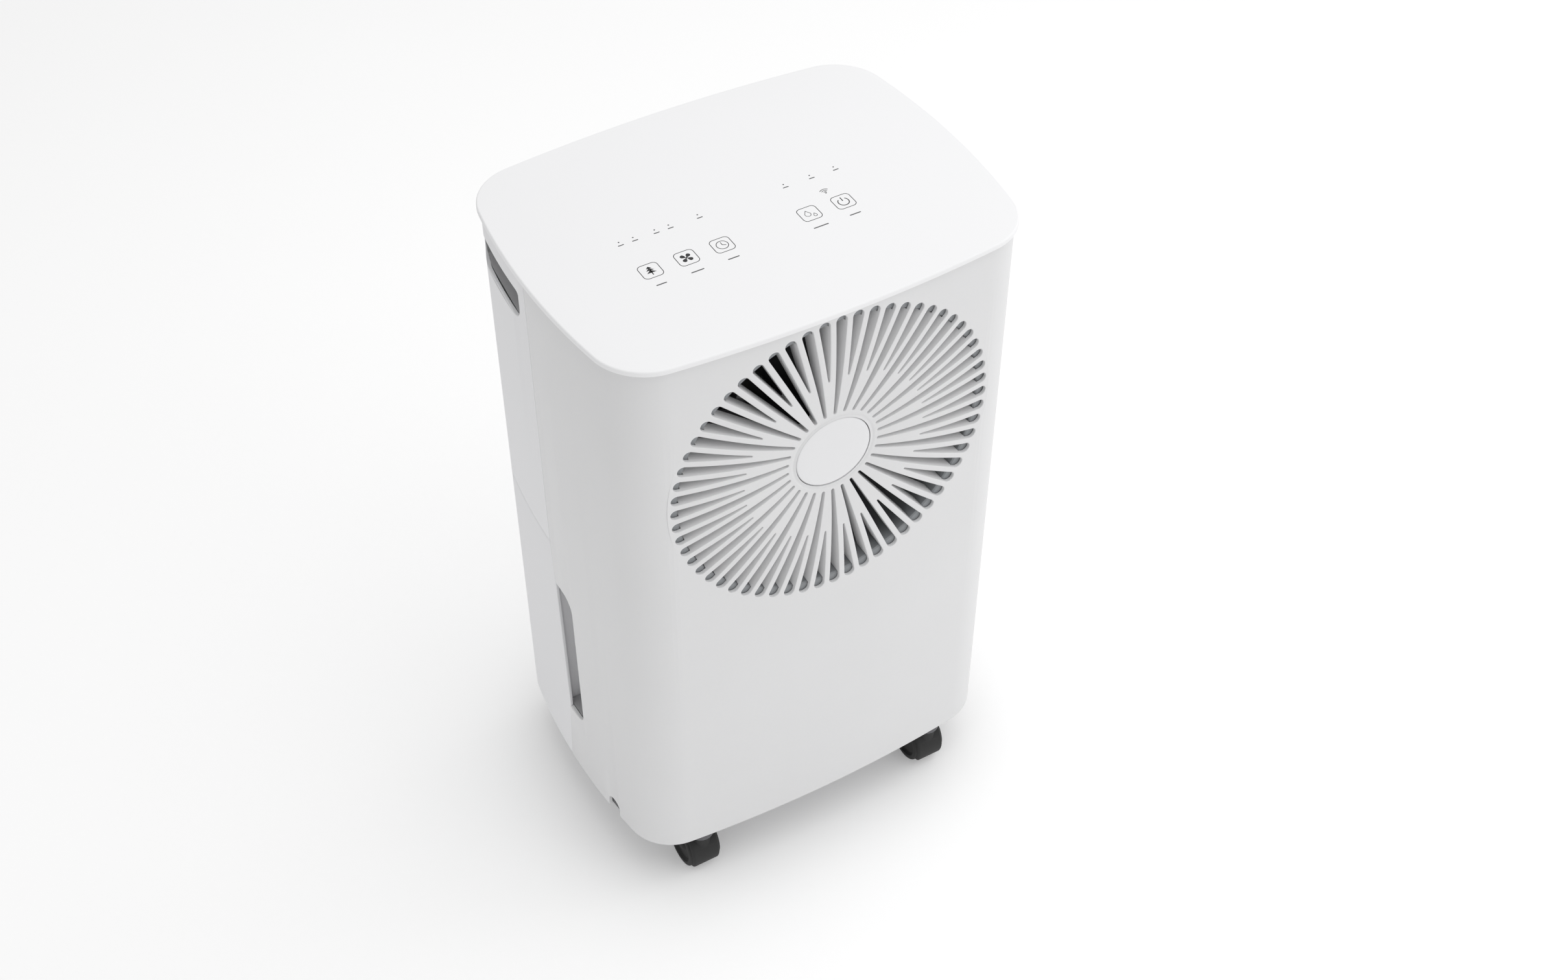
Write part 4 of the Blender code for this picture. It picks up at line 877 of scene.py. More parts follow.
@dataclass
class HandOpenings:
    """Outlines of the hand recesses in the sides, in (y, z)."""

    grip_front: float = -0.0203
    grip_lean: float = 0.0026
    grip_height: float = 0.1453
    grip_corners: Flat = (0.010, 0.014)
    lip_front: float = 0.004
    lip_lean: float = 0.0048
    handle_height: float = 0.0262
    handle_drop: float = 0.0033
    handle_corners: tuple[float, ...] = (0.0125, 0.0125, 0.009, 0.0025)
    cup_wall: float = 0.002

    @property
    def grip_low(self) -> float:
        """Height of the finger recess's lower edge."""
        return box_of("grip_cup_left")[0].z + self.cup_wall

    def grip(self, grow: float) -> list[Flat]:
        """The finger recess, which runs back past the seam."""
        low, high = self.grip_low - grow, self.grip_low + self.grip_height + grow
        back = PLAN.seam_y + 0.02
        lean = self.grip_lean / 2
        corners = [(self.grip_front - lean - grow, low), (back, low), (back, high),
                   (self.grip_front + lean - grow, high)]
        return rounded(corners, (self.grip_corners[0] + grow, 0, 0, self.grip_corners[1] + grow), 10)

    def lip_y(self, z: float) -> float:
        """Y of the tank's forward edge at a height."""
        back = PLAN.seam_y + PLAN.seam_gap / 2
        low, high = self.grip_low, self.grip_low + self.grip_height
        stops = [(box_of("front_shell")[0].z, back), (low, self.lip_front - self.lip_lean / 2),
                 (high, self.lip_front + self.lip_lean / 2), (box_of("tank_shell")[1].z, back)]
        for (z0, y0), (z1, y1) in zip(stops, stops[1:]):
            if z <= z1:
                return y0 + (y1 - y0) * max(0.0, z - z0) / (z1 - z0)
        return back

    def lip(self, margin: float) -> list[Flat]:
        """What the front leaves free for the tank's edge."""
        low, top = box_of("front_shell")[0].z, box_of("tank_shell")[1].z
        heights = [low, self.grip_low, self.grip_low + self.grip_height, top]
        edge = [(self.lip_y(z) - margin, z) for z in heights]
        back = PLAN.seam_y + 0.01
        edge[0] = (edge[0][0], low - margin)
        edge[-1] = (edge[-1][0], top + margin)
        return [*edge, (back, top + margin), (back, low - margin)]

    def handle(self, grow: float) -> list[Flat]:
        """The carrying recess, which drops a little towards the back."""
        cup = box_of("handle_cup_left")
        front, back = cup[0].y + self.cup_wall - grow, cup[1].y - self.cup_wall + grow
        high = cup[1].z - self.cup_wall + grow
        low = high - self.handle_height - 2 * grow
        corners = [(front, low), (back, low - self.handle_drop), (back, high - self.handle_drop),
                   (front, high)]
        return rounded(corners, [radius + grow for radius in self.handle_corners], 10)

    def on_side(self, side: int) -> Callable[[Flat, float], Point]:
        """Points of a side wall's face, at a depth."""
        return lambda point, depth: (side * (PLAN.side_x(point[0], PLAN.overhang) - depth), *point)


HANDS = HandOpenings()


@dataclass
class FrontShell(SubAssembly):
    """Front wall with both sides, without its outlet."""

    notch_y: float = -0.0627
    notch_width: float = 0.0156
    mouth: float = 0.0009
    reach: float = 0.012
    lip_reach: float = 0.03

    def build(self) -> None:
        """Builds the wall and cuts its openings."""
        low, high = box_of("front_shell")
        edge = high.y
        shell = PLAN.wall_of("front_shell_skin", PLAN.half(PLAN.overhang, edge),
                             PLAN.half(PLAN.inside, edge), low.z, high.z)
        hole = rod("outlet_hole", Outlet.rim, PLAN.front_y - PAST, PLAN.front_y + 0.03,
                   (0, 0, Outlet.centre_z()), "Y", 4 * Outlet.slots)
        cutters = [hole]
        for side in (-1, 1):
            grip = Mouth(HANDS.grip, HANDS.on_side(side), self.mouth, self.reach)
            cutters.append(grip.cutter(f"grip{side}"))
            wide = PLAN.half_width + PAST
            cutters.append(extrusion(f"lip{side}", HANDS.lip(PLAN.seam_gap), side * (wide - self.lip_reach),
                                     side * wide, "X"))
        cutters.append(Mouth(self.notch, HANDS.on_side(-1), 0.0005, self.reach).cutter("notch"))
        carve(shell, *cutters)
        # The front wall takes the darker copy of the casing white, as painted shade.
        self.fit(shell, Coat.FRONT_WHITE, "casing", "casing_white", "front_shell")

    def notch(self, grow: float) -> list[Flat]:
        """The arched notch for the mains lead, at the lower edge of the left side."""
        low = box_of("front_shell")[0].z
        half = self.notch_width / 2
        top = arc((self.notch_y, low + half), half + grow, 0, math.pi, 16)
        return [*top, (self.notch_y - half - grow, low - PAST), (self.notch_y + half + grow, low - PAST)]


@dataclass
class Outlet(SubAssembly):
    """Dished round air outlet: sixty tapered slots round a seat for the cap."""

    rim = 0.1335
    slots = 60
    radius: float = 0.1312
    slot_width: float = 0.0087
    inner: Flat = (0.037, 0.074)
    tip: Flat = (0.0025, 0.0014)
    edge: float = 0.00045
    dish_depth: float = 0.0058
    rib_back: float = 0.0163
    rib_reach: Flat = (0.1231, 0.1239)
    cap_radius: float = 0.0306
    seat_depth: float = 0.0095
    points: list[Vector] = field(default_factory=list)
    faces: list[list[int]] = field(default_factory=list)

    @staticmethod
    def centre_z() -> float:
        """Height of the outlet's middle."""
        low, high = box_of("hub_cap")
        return (low.z + high.z) / 2

    def depth(self, radius: float) -> float:
        """Depth of the dished face under the front's curve."""
        share = min(1.0, max(0.0, (self.radius - radius) / (self.radius - self.inner[0])))
        groove = 0.0007 * math.exp(-(((radius - 0.0331) / 0.0011) ** 2))
        return self.dish_depth * share**2.4 + groove

    def front(self, u: float, v: float, turn: float, extra: float = 0.0) -> Vector:
        """A point of the dished face, from its place along and across a slot."""
        flat = Matrix.Rotation(turn, 2) @ Vector((u, v))
        y = PLAN.front_y + PLAN.sag(flat.x) + self.depth(math.hypot(u, v)) + extra
        return Vector((flat.x, y, self.centre_z() + flat.y))

    def back(self, u: float, v: float, turn: float) -> Vector:
        """A point of the back of the ribs, or of the thin wall outside them."""
        flat = Matrix.Rotation(turn, 2) @ Vector((u, v))
        deep = math.hypot(u, v) < sum(self.rib_reach) / 2
        y = PLAN.front_y + (self.rib_back if deep else PLAN.sag(flat.x) + PLAN.wall)
        return Vector((flat.x, y, self.centre_z() + flat.y))

    def radii(self) -> list[float]:
        """Radii of the mesh's rings, which both kinds of slot share."""
        first, second = self.inner
        rings = [0.0311, 0.0320, 0.0326, 0.0331, 0.0336, 0.0342, 0.0350]
        for start, end in ((first, second), (second, self.rib_reach[0])):
            rings += [start - self.edge, start + 0.0002, start + 0.0008]
            count = round((end - start) / 0.0045)
            first_ring, last_ring = start + 0.0016, end - 0.0022
            rings += [first_ring + (last_ring - first_ring) * i / count for i in range(count + 1)]
        rings += [self.rib_reach[0], self.rib_reach[1], 0.1255, 0.1270]
        rings += [0.1281, 0.1291, 0.1300, 0.1307, 0.1312, self.radius + self.edge]
        return [*rings, 0.1322, self.rim]

    def outline(self, kind: int, ring: int, rings: Sequence[float], grow: float) -> Flat:
        """One point of half a slot's outline.

        Args:
            kind: 0 for a long slot, 1 for a short one.
            ring: Number of the mesh ring that the point belongs to.
            rings: All ring radii.
            grow: How far the outline is grown.

        Returns:
            The point, along and across the slot.
        """
        half, tip = self.slot_width / 2, self.tip[kind] / 2
        start = self.start(kind, rings)
        last = self.last(rings)
        outer_first = last - 6
        centre = self.radius - half
        if ring - start < 3:
            turn = math.pi - math.pi / 2 * (ring - start) / 3
            at = self.inner[kind] + tip
            return at + (tip + grow) * math.cos(turn), (tip + grow) * math.sin(turn)
        if ring >= outer_first:
            turn = math.pi / 2 * (last - ring) / 6
            return centre + (half + grow) * math.cos(turn), (half + grow) * math.sin(turn)
        at, length = self.inner[kind] + tip, centre - self.inner[kind] - tip
        share = min(1.0, max(0.0, (rings[ring] - at) / length))
        return at + share * length, tip + (half - tip) * share + grow

    def start(self, kind: int, rings: Sequence[float]) -> int:
        """Number of the ring at a slot's inner tip."""
        return rings.index(self.inner[kind] - self.edge)

    def last(self, rings: Sequence[float]) -> int:
        """Number of the ring at a slot's outer end."""
        return rings.index(self.radius + self.edge)

    def quad(self, *corners: Vector) -> None:
        """Adds one face with its own corners."""
        first = len(self.points)
        self.points += corners
        self.faces.append(list(range(first, first + len(corners))))

    def row(self, kind: int, ring: int, rings: Sequence[float], turn: float, side: int) -> tuple:
        """Points across half a rib at one ring: on the front, and on the back."""
        radius, reach = rings[ring], math.pi / self.slots
        start, last = self.start(kind, rings), self.last(rings)
        if start <= ring <= last:
            grown = [self.outline(kind, ring, rings, g) for g in (0.0, 0.3 * self.edge, self.edge)]
            front = [self.front(u, side * v, turn, extra) for (u, v), extra in
                     zip(grown, (self.edge, 0.3 * self.edge, 0.0))]
            u, v = grown[0]
            back = [self.back(u, side * v, turn)]
            edge_turn = math.atan2(grown[2][1], grown[2][0])
            edge_radius = math.hypot(*grown[2])
        else:
            front = [self.front(radius, 0.0, turn)]
            back = [self.back(radius, 0.0, turn)]
            edge_turn, edge_radius = 0.0, radius
        for share in (0.5, 1.0):
            angle = edge_turn + (reach - edge_turn) * share
            at = edge_radius + (radius - edge_radius) * share
            u, v = at * math.cos(angle), side * at * math.sin(angle)
            front.append(self.front(u, v, turn))
            back.append(self.back(u, v, turn))
        return front, back

    def build(self) -> None:
        """Builds the grille in half sectors, and its cap."""
        rings = self.radii()
        for number in range(self.slots):
            kind = number % 2
            turn = math.pi / 2 + number * 2 * math.pi / self.slots
            start, last = self.start(kind, rings), self.last(rings)
            for side in (-1, 1):
                rows = [self.row(kind, ring, rings, turn, side) for ring in range(len(rings))]
                for ring, (one, two) in enumerate(zip(rows, rows[1:])):
                    slotted = start <= ring < last
                    front_one, front_two = one[0], two[0]
                    if not slotted:
                        front_one, front_two = front_one[-3:], front_two[-3:]
                    for a, b, c, d in zip(front_one, front_one[1:], front_two[1:], front_two):
                        self.quad(a, b, c, d)
                    for a, b, c, d in zip(one[1], one[1][1:], two[1][1:], two[1]):
                        self.quad(a, b, c, d)
                    if slotted:
                        self.quad(one[0][0], two[0][0], two[1][0], one[1][0])
                self.close(rows[0], rows[-1])
        grille = solid("outlet_grille", self.points, self.faces, weld=True)
        # The grille takes the same darker copy of the casing white, as painted shade.
        self.fit(grille, Coat.FRONT_WHITE, "casing", "casing_white")
        self.fit(self.cap(), Coat.CAP_WHITE, "casing", "casing_white", "hub_cap")

    def close(self, inner: tuple, outer: tuple) -> None:
        """Closes the rim at the wall, and the seat and the back in the middle."""
        for a, b, c, d in zip(outer[0], outer[0][1:], outer[1][1:], outer[1]):
            self.quad(a, b, c, d)
        seat_y = PLAN.front_y + self.seat_depth
        back_y = PLAN.front_y + self.rib_back
        for a, b in zip(inner[0], inner[0][1:]):
            low_a, low_b = Vector((a.x, seat_y, a.z)), Vector((b.x, seat_y, b.z))
            self.quad(a, b, low_b, low_a)
            self.quad(low_a, low_b, Vector((0, seat_y, self.centre_z())))
        for a, b in zip(inner[1], inner[1][1:]):
            self.quad(a, b, Vector((0, back_y, self.centre_z())))

    def cap(self) -> bpy.types.Object:
        """The slightly domed cap in the middle, with a rolled rim."""
        low, high = box_of("hub_cap")
        front, back, radius = low.y, high.y, self.cap_radius
        profile = [(0.0, front + 0.0001)]
        profile += [(radius * s, front + 0.0001 + 0.0004 * s**2) for s in (0.2, 0.4, 0.6, 0.8, 0.9)]
        profile += [(r, front + d) for r, d in arc((radius - 0.0012, 0.0018), 0.0012, -math.pi / 2, 0, 6)]
        profile += [(radius, back), (0.0, back)]
        return lathe("outlet_cap", profile, (0, 0, self.centre_z()), "Y", 120)


@dataclass
class FanUnit(SubAssembly):
    """Duct, fan wheel and nut behind the outlet."""

    duct_radius: float = 0.1242
    duct_wall: float = 0.0028
    flange: float = 0.1320
    blades: int = 7
    hub_radius: float = 0.034
    blade_radius: float = 0.114

    def build(self) -> None:
        """Builds the duct and the wheel."""
        self.fit(self.duct(), Coat.INNER_GREY, "casing", "inner_grey", "fan_duct")
        self.fit(self.wheel(), Coat.FAN_BLACK, "fan", "fan_black", "fan_wheel")
        self.fit(self.nut(), Coat.FAN_BLACK, "fan", "fan_black", "fan_nut")

    def duct(self) -> bpy.types.Object:
        """The duct, whose flange follows the front wall."""
        radius, outside = self.duct_radius, self.duct_radius + self.duct_wall
        front, flange_back = PLAN.wall + 0.0005, PLAN.wall + 0.0035
        back = box_of("fan_duct")[1].y - PLAN.front_y
        profile = [(radius + 0.001, front), (self.flange, front), (self.flange, flange_back),
                   (outside, flange_back), (outside, back - 0.001), (outside - 0.001, back),
                   (radius, back), (radius, front + 0.001)]
        follows = {0, 1, 2, 3, 7}

        def lift(point: Vector, number: int) -> Vector:
            """Moves the flange's points onto the front's curve."""
            return point + Vector((0, PLAN.sag(point.x) if number in follows else 0, 0))

        made = lathe("air_duct", profile, (0, PLAN.front_y, Outlet.centre_z()), "Y", 120, True, lift)
        inset = PLAN.inside + 0.0005
        low, high = box_of("front_shell")
        limit = loft("duct_limit", [level(PLAN.full(inset), z) for z in (low.z, high.z)])
        return combine(made, [limit], "INTERSECT")

    def wheel(self) -> bpy.types.Object:
        """The wheel: a cupped hub with twisted blades."""
        low, high = box_of("fan_wheel")
        front, back, radius = low.y, high.y, self.hub_radius
        profile = [(0.0035, front), (radius * 0.62, front)]
        profile += arc((radius - 0.006, front + 0.006), 0.006, -math.pi / 2, 0, 5)
        profile += [(radius, back), (radius - 0.003, back), (radius - 0.003, front + 0.010),
                    (0.0085, front + 0.008), (0.0085, back - 0.004), (0.0035, back - 0.004)]
        at = (0, 0, Outlet.centre_z())
        hub = lathe("fan_hub", profile, at, "Y", 72, True)
        blades = [self.blade(2 * math.pi * k / self.blades, front + 0.003, back - front - 0.006)
                  for k in range(self.blades)]
        return join("fan_blades", [hub, *blades])

    def blade(self, turn: float, low: float, depth: float) -> bpy.types.Object:
        """One twisted blade with a curved chord and a swept, rounded tip."""
        spans, chords, thickness = 8, 10, 0.0011
        root = self.hub_radius - 0.002
        sheets: list[list[Point]] = []
        for side in (-1, 1):
            sheet = []
            for i in range(spans + 1):
                share = i / spans
                radius = root + (self.blade_radius - root) * share
                pitch = 0.62 - 0.07 * share
                for j in range(chords + 1):
                    along = j / chords - 0.5
                    shrink = 1 - 0.10 * max(0.0, share - 0.8) * 5 * (2 * along) ** 2
                    sweep = turn + pitch * along + 0.12 * share
                    lift = low + depth * (0.5 + along * (1 - 0.25 * share)) - 0.004 * (1 - 4 * along**2)
                    thin = thickness * (1 - 0.7 * (2 * along) ** 4)
                    sheet.append((radius * shrink * math.cos(sweep), radius * shrink * math.sin(sweep),
                                  lift + side * thin))
            sheets.append(sheet)
        row, count = chords + 1, (spans + 1) * (chords + 1)
        faces = []
        for i in range(spans):
            for j in range(chords):
                a = i * row + j
                faces += [[a, a + 1, a + row + 1, a + row],
                          [count + a, count + a + row, count + a + row + 1, count + a + 1]]
        edge = [(0, j) for j in range(chords)] + [(i, chords) for i in range(spans)]
        edge += [(spans, chords - j) for j in range(chords)] + [(spans - i, 0) for i in range(spans)]
        ring = [i * row + j for i, j in edge]
        faces += [[a, b, count + b, count + a] for a, b in zip(ring, ring[1:] + ring[:1])]
        turn_to_y, at = turned("Y"), Vector((0, 0, Outlet.centre_z()))
        points = [turn_to_y @ Vector(point) + at for sheet in sheets for point in sheet]
        return solid("blade", points, faces)

    def nut(self) -> bpy.types.Object:
        """The round nut on the shaft, with grip flutes."""
        low, high = box_of("fan_nut")
        profile = [(0.0035, low.y), (0.0065, low.y), (0.0078, low.y + 0.0012), (0.0078, high.y - 0.0006),
                   (0.0072, high.y), (0.0035, high.y)]

        def flute(point: Vector, number: int) -> Vector:
            """Waves the outer points in and out."""
            if number not in (2, 3):
                return point
            away = Vector((point.x, 0, point.z - Outlet.centre_z()))
            wave = 0.0002 * math.cos(12 * math.atan2(away.z, away.x))
            return point + away.normalized() * wave

        return lathe("shaft_nut", profile, (0, 0, Outlet.centre_z()), "Y", 72, True, flute)


@dataclass
class RearShell(SubAssembly):
    """Upper back wall with the air inlet's opening and the carrying recesses."""

    mouth: float = 0.0010
    reach: float = 0.012

    def build(self) -> None:
        """Builds the wall and cuts its openings."""
        low, high = box_of("rear_shell")
        shell = PLAN.wall_of("rear_shell_skin", PLAN.rear(PLAN.overhang, low.y),
                             PLAN.rear(PLAN.inside, low.y), low.z, high.z)
        cutters = [Mouth(HANDS.handle, HANDS.on_side(side), self.mouth, self.reach).cutter(f"handle{side}")
                   for side in (-1, 1)]
        grille_low, grille_high = box_of("intake_grille")
        gap = 0.0005
        cutters.append(Mouth(lambda grow: rounded(rectangle(
            (grille_low.x - gap - grow, grille_low.z - gap - grow),
            (grille_high.x + gap + grow, grille_high.z + gap + grow)), (0.0012,) * 4, 4),
            self.on_back, 0.0006, 0.012).cutter("intake"))
        plug = box_of("drain_plug")
        middle = (plug[0].z + plug[1].z) / 2
        cutters.append(rod("plug_hole", 0.0065, high.y - 0.02, high.y + 0.02, (0, 0, middle), "Y"))
        carve(shell, *cutters)
        self.fit(shell, Coat.CASING_WHITE, "casing", "casing_white", "rear_shell")

    @staticmethod
    def on_back(point: Flat, depth: float) -> Point:
        """A point of the back wall's face, at a depth."""
        x, z = point
        return x, PLAN.half_depth - PLAN.overhang - PLAN.sag(x) - depth, z


@dataclass
class HandCups(SubAssembly):
    """Grey cups behind the carrying openings, with filleted floors."""

    wall: float = 0.0018
    fillet: float = 0.004

    def build(self) -> None:
        """Builds both cups."""
        for side, label in ((-1, "left"), (1, "right")):
            node = f"handle_cup_{label}"
            low, high = box_of(node)
            floor = (low.x if side > 0 else -high.x) + HANDS.cup_wall
            cup = self.cup(f"handle_recess_{label}", side, floor)
            self.fit(cup, Coat.RECESS_GREY, "casing", "recess_grey", node)

    def cup(self, name: str, side: int, floor: float) -> bpy.types.Object:
        """One cup, from its floor up to its rim on the wall's inner face and back outside."""
        rim_inset = PLAN.inside + 0.0005

        def ring(grow: float, depth: float | None) -> list[Point]:
            """The outline at the rim, or flat at a depth above the floor."""
            return [(side * (PLAN.side_x(y, rim_inset) if depth is None else floor + depth), y, z)
                    for y, z in HANDS.handle(grow)]

        loops = [ring(-self.fillet, 0.0)]
        for i in range(1, 6):
            turn = math.pi / 2 * i / 5
            loops.append(ring(-self.fillet * (1 - math.sin(turn)), self.fillet * (1 - math.cos(turn))))
        loops += [ring(0.0, None), ring(self.wall, None), ring(self.wall, -self.wall)]
        return loft(name, loops)


@dataclass
class Lid(SubAssembly):
    """Lid plate with a rolled upper edge, its skirt and its printed symbols."""

    edge: float = 0.0014
    print_height: float = 0.00006
    line: float = 0.00050
    button: float = 0.0154
    button_corner: float = 0.0035
    button_y: float = -0.0299
    buttons: tuple[float, ...] = (-0.0920, -0.06425, -0.03625, 0.0335, 0.06125)
    lamps: tuple[float, ...] = (-0.09675, -0.08575, -0.069, -0.058, -0.035, 0.0345, 0.056, 0.076)
    lamp_y: float = 0.0045
    caption_y: float = -0.0460

    def build(self) -> None:
        """Builds the plate and the print on it."""
        low, high = box_of("top_lid")
        top = high.z - self.print_height - 0.00002
        bottom = box_of("front_shell")[1].z + 0.001
        loops = [level(PLAN.full(inset), z) for inset, z in (
            (PLAN.inside + 0.0057, bottom), (PLAN.inside + 0.0057, low.z), (PLAN.inside + 0.0035, low.z),
            (PLAN.inside + 0.0035, bottom), (0.0006, bottom), (0.0, bottom + 0.0006))]
        loops += [level(PLAN.full(self.edge * (1 - math.cos(t))), top - self.edge * (1 - math.sin(t)))
                  for t in (math.pi / 2 * i / 6 for i in range(7))]
        plate = loft("lid_plate", loops)
        reach = 0.1
        gap = box("skirt_gap", (-reach, -PLAN.half_depth, low.z - PAST),
                  (reach, 0.02 - PLAN.half_depth, bottom - 0.00001))
        self.fit(carve(plate, gap), Coat.LID_WHITE, "casing", "lid_white", "top_lid")
        dark, pale = self.symbols()
        for name, outlines, coat in (("lid_symbols", dark, Coat.DARK_INK),
                                     ("lid_captions", pale, Coat.PALE_INK)):
            self.fit(self.printed(name, outlines, top), coat, "casing", "lid_white")

    def printed(self, name: str, outlines: Sequence[list[list[Flat]]], top: float) -> bpy.types.Object:
        """Thin solids of ink: each is a strip between two outlines, or one filled outline."""
        pieces = []
        base, high = top - 0.00002, top + self.print_height
        for rings in outlines:
            if len(rings) == 1:
                pieces.append(loft(name, [level(rings[0], base), level(rings[0], high)]))
            else:
                pieces.append(loft(name, [level(rings[0], base), level(rings[0], high),
                                          level(rings[1], high), level(rings[1], base)], ring=True))
        return join(name, pieces)

    def frame(self, x: float, y: float, size: float, corner: float, line: float) -> list[list[Flat]]:
        """A rounded square drawn as a line."""
        half = size / 2
        return [rounded(rectangle((x - h, y - h), (x + h, y + h)), (corner - (half - h),) * 4, 8)
                for h in (half, half - line)]

    def bar(self, x: float, y: float, width: float, height: float) -> list[list[Flat]]:
        """A short bar with round ends."""
        half_x, half_y = width / 2, height / 2
        ends = rectangle((x - half_x, y - half_y), (x + half_x, y + half_y))
        return [rounded(ends, (half_y * 0.98,) * 4, 5)]

    def circle(self, x: float, y: float, radius: float, line: float = 0.0) -> list[list[Flat]]:
        """A disc, or a ring drawn as a line."""
        radii = (radius, radius - line) if line else (radius,)
        return [arc((x, y), r, 0, 2 * math.pi, 36)[:-1] for r in radii]

    def stroke(self, points: Sequence[Flat], width: float) -> list[list[Flat]]:
        """A line of one width along points."""
        left, right = [], []
        for i, point in enumerate(points):
            before, after = Vector(points[max(0, i - 1)]), Vector(points[min(len(points) - 1, i + 1)])
            way = (after - before).normalized() * width / 2
            left.append((point[0] - way.y, point[1] + way.x))
            right.append((point[0] + way.y, point[1] - way.x))
        return [left + right[::-1]]

    def drop(self, x: float, y: float, size: float) -> list[list[Flat]]:
        """A water drop drawn as a line."""
        rings = []
        for scale in (1.0, 1 - 2.2 * self.line / size):
            r = size * 0.5 * scale
            centre = (x, y - size * 0.18)
            body = arc(centre, r * 0.72, math.radians(150), math.radians(390), 20)
            rings.append([(x, centre[1] + r * 1.32), *body])
        return rings

    def petal(self, x: float, y: float, turn: float, size: float) -> list[list[Flat]]:
        """One blade of the fan symbol."""
        points = []
        for i in range(16):
            t = 2 * math.pi * i / 16
            local = Vector((size * (0.56 + 0.40 * math.cos(t)),
                            size * 0.24 * math.sin(t) * (1.25 + 0.5 * math.cos(t))))
            spun = Matrix.Rotation(turn, 2) @ local
            points.append((x + spun.x, y + spun.y))
        return [points]

    def symbols(self) -> tuple[list[list[list[Flat]]], list[list[list[Flat]]]]:
        """Outlines of the dark symbols and of the pale marks."""
        y = self.button_y
        tree_x, fan_x, clock_x, drop_x, power_x = self.buttons
        dark = [self.frame(x, y, self.button, self.button_corner, self.line) for x in self.buttons]
        line = self.line
        dark.append(self.stroke([(tree_x, y - 0.0047), (tree_x, y + 0.0008)], line * 1.5))
        branches = ((-0.0022, 0.0036, 0.0030), (0.0004, 0.0030, 0.0026), (0.0026, 0.0021, 0.0022))
        for low, wide, tall in branches:
            dark.append([[(tree_x - wide, y + low), (tree_x + wide, y + low), (tree_x, y + low + tall)]])
        dark += [self.petal(fan_x, y, math.pi / 4 + math.pi / 2 * k, 0.0050) for k in range(4)]
        dark.append(self.circle(fan_x, y, 0.0008))
        dark.append(self.circle(clock_x, y, 0.0046, line))
        dark.append(self.stroke([(clock_x, y), (clock_x, y + 0.0031)], line))
        dark.append(self.stroke([(clock_x, y), (clock_x + 0.0024, y - 0.0012)], line))
        dark += [self.drop(drop_x - 0.0015, y + 0.0008, 0.0068),
                 self.drop(drop_x + 0.0030, y - 0.0026, 0.0040)]
        gap = math.radians(38)
        sweep = [arc((power_x, y - 0.0003), r, math.pi / 2 + gap, math.pi / 2 + 2 * math.pi - gap, 36)
                 for r in (0.0044, 0.0044 - 1.4 * line)]
        dark.append([sweep[0] + sweep[1][::-1]])
        dark.append(self.stroke([(power_x, y + 0.0006), (power_x, y + 0.0050)], 1.4 * line))
        signal_x, signal_y = 0.05575, -0.01325 - 0.0022
        for radius in (0.0018, 0.0033, 0.0048):
            sweep = [arc((signal_x, signal_y), r, math.radians(45), math.radians(135), 12)
                     for r in (radius, radius - line)]
            dark.append([sweep[0] + sweep[1][::-1]])
        dark.append(self.circle(signal_x, signal_y, 0.0006))
        pale = [self.bar(x, self.lamp_y, 0.0046, 0.0009) for x in self.lamps]
        pale += [self.circle(x, self.lamp_y + 0.0036, 0.0006) for x in self.lamps]
        for x, width in zip(self.buttons, (0.0080, 0.0100, 0.0090, 0.0120, 0.0090)):
            pale += [self.bar(x, self.caption_y, width, 0.0010)]
        return dark, pale


@dataclass
class Tank(SubAssembly):
    """Water tank, whose outside is the casing's lower back, with its grip edge."""

    wall: float = 0.0026
    nose: float = 0.0009
    low_edge: float = 0.0010

    def build(self) -> None:
        """Builds the skin with its bowed edges, and joins the front panel and the floor to it."""
        low, high = box_of("tank_shell")
        top = high.z
        turns = (0.0, 0.5, 1.0, math.pi / 2)
        grip_low, grip_high = HANDS.grip_low, HANDS.grip_low + HANDS.grip_height
        heights = [low.z + self.low_edge * (1 - math.cos(t)) for t in turns]
        heights += [0.09, grip_low - 0.004, grip_low + 0.001, grip_low + 0.006, 0.18, 0.22, grip_high - 0.004,
                    grip_high, grip_high + 0.004, top - 0.004, top - 0.0008, top]
        insets = [self.low_edge * (1 - math.sin(t)) for t in turns]
        insets += [0.0] * (len(heights) - len(insets) - 2) + [0.0002, 0.0008]
        skin = loft("tank_body", [level(self.plan(z, inset), z) for z, inset in zip(heights, insets)])
        front = PLAN.seam_y + PLAN.seam_gap / 2
        inset = PLAN.overhang + self.wall - 0.0006
        reach = PLAN.side_x(front + self.wall, inset)
        floor_low = box_of("base_pan")[1].z + 0.0005
        panel = box("panel", (-reach, front, floor_low), (reach, front + self.wall, top))
        floor = loft("floor", [level(PLAN.rear(inset, front + 0.0004), z)
                               for z in (floor_low + 0.0001, floor_low + self.wall)])
        self.fit(fuse(skin, fuse(panel, floor)), Coat.CASING_WHITE, "tank", "casing_white", "tank_shell")

    def plan(self, z: float, inset: float) -> list[Flat]:
        """The skin at a height: its outside with rounded forward edges, then its inside."""
        front = PLAN.seam_y + PLAN.seam_gap / 2
        edge = min(HANDS.lip_y(z), front)
        run = PLAN.rear(PLAN.overhang + inset, edge + self.nose)
        inner = PLAN.rear(PLAN.overhang + self.wall, edge + 0.0003)
        nose = []
        for t in (math.pi / 2 * i / 4 for i in range(1, 5)):
            y = edge + self.nose * (1 - math.sin(t))
            nose.append((PLAN.side_x(y, PLAN.overhang + inset) - self.nose * (1 - math.cos(t)), y))
        nose.append((PLAN.side_x(edge, PLAN.overhang + self.wall) + 0.0003, edge))
        left = [(-x, y) for x, y in reversed(nose)]
        return [*left, *run, *nose, *reversed(inner)]


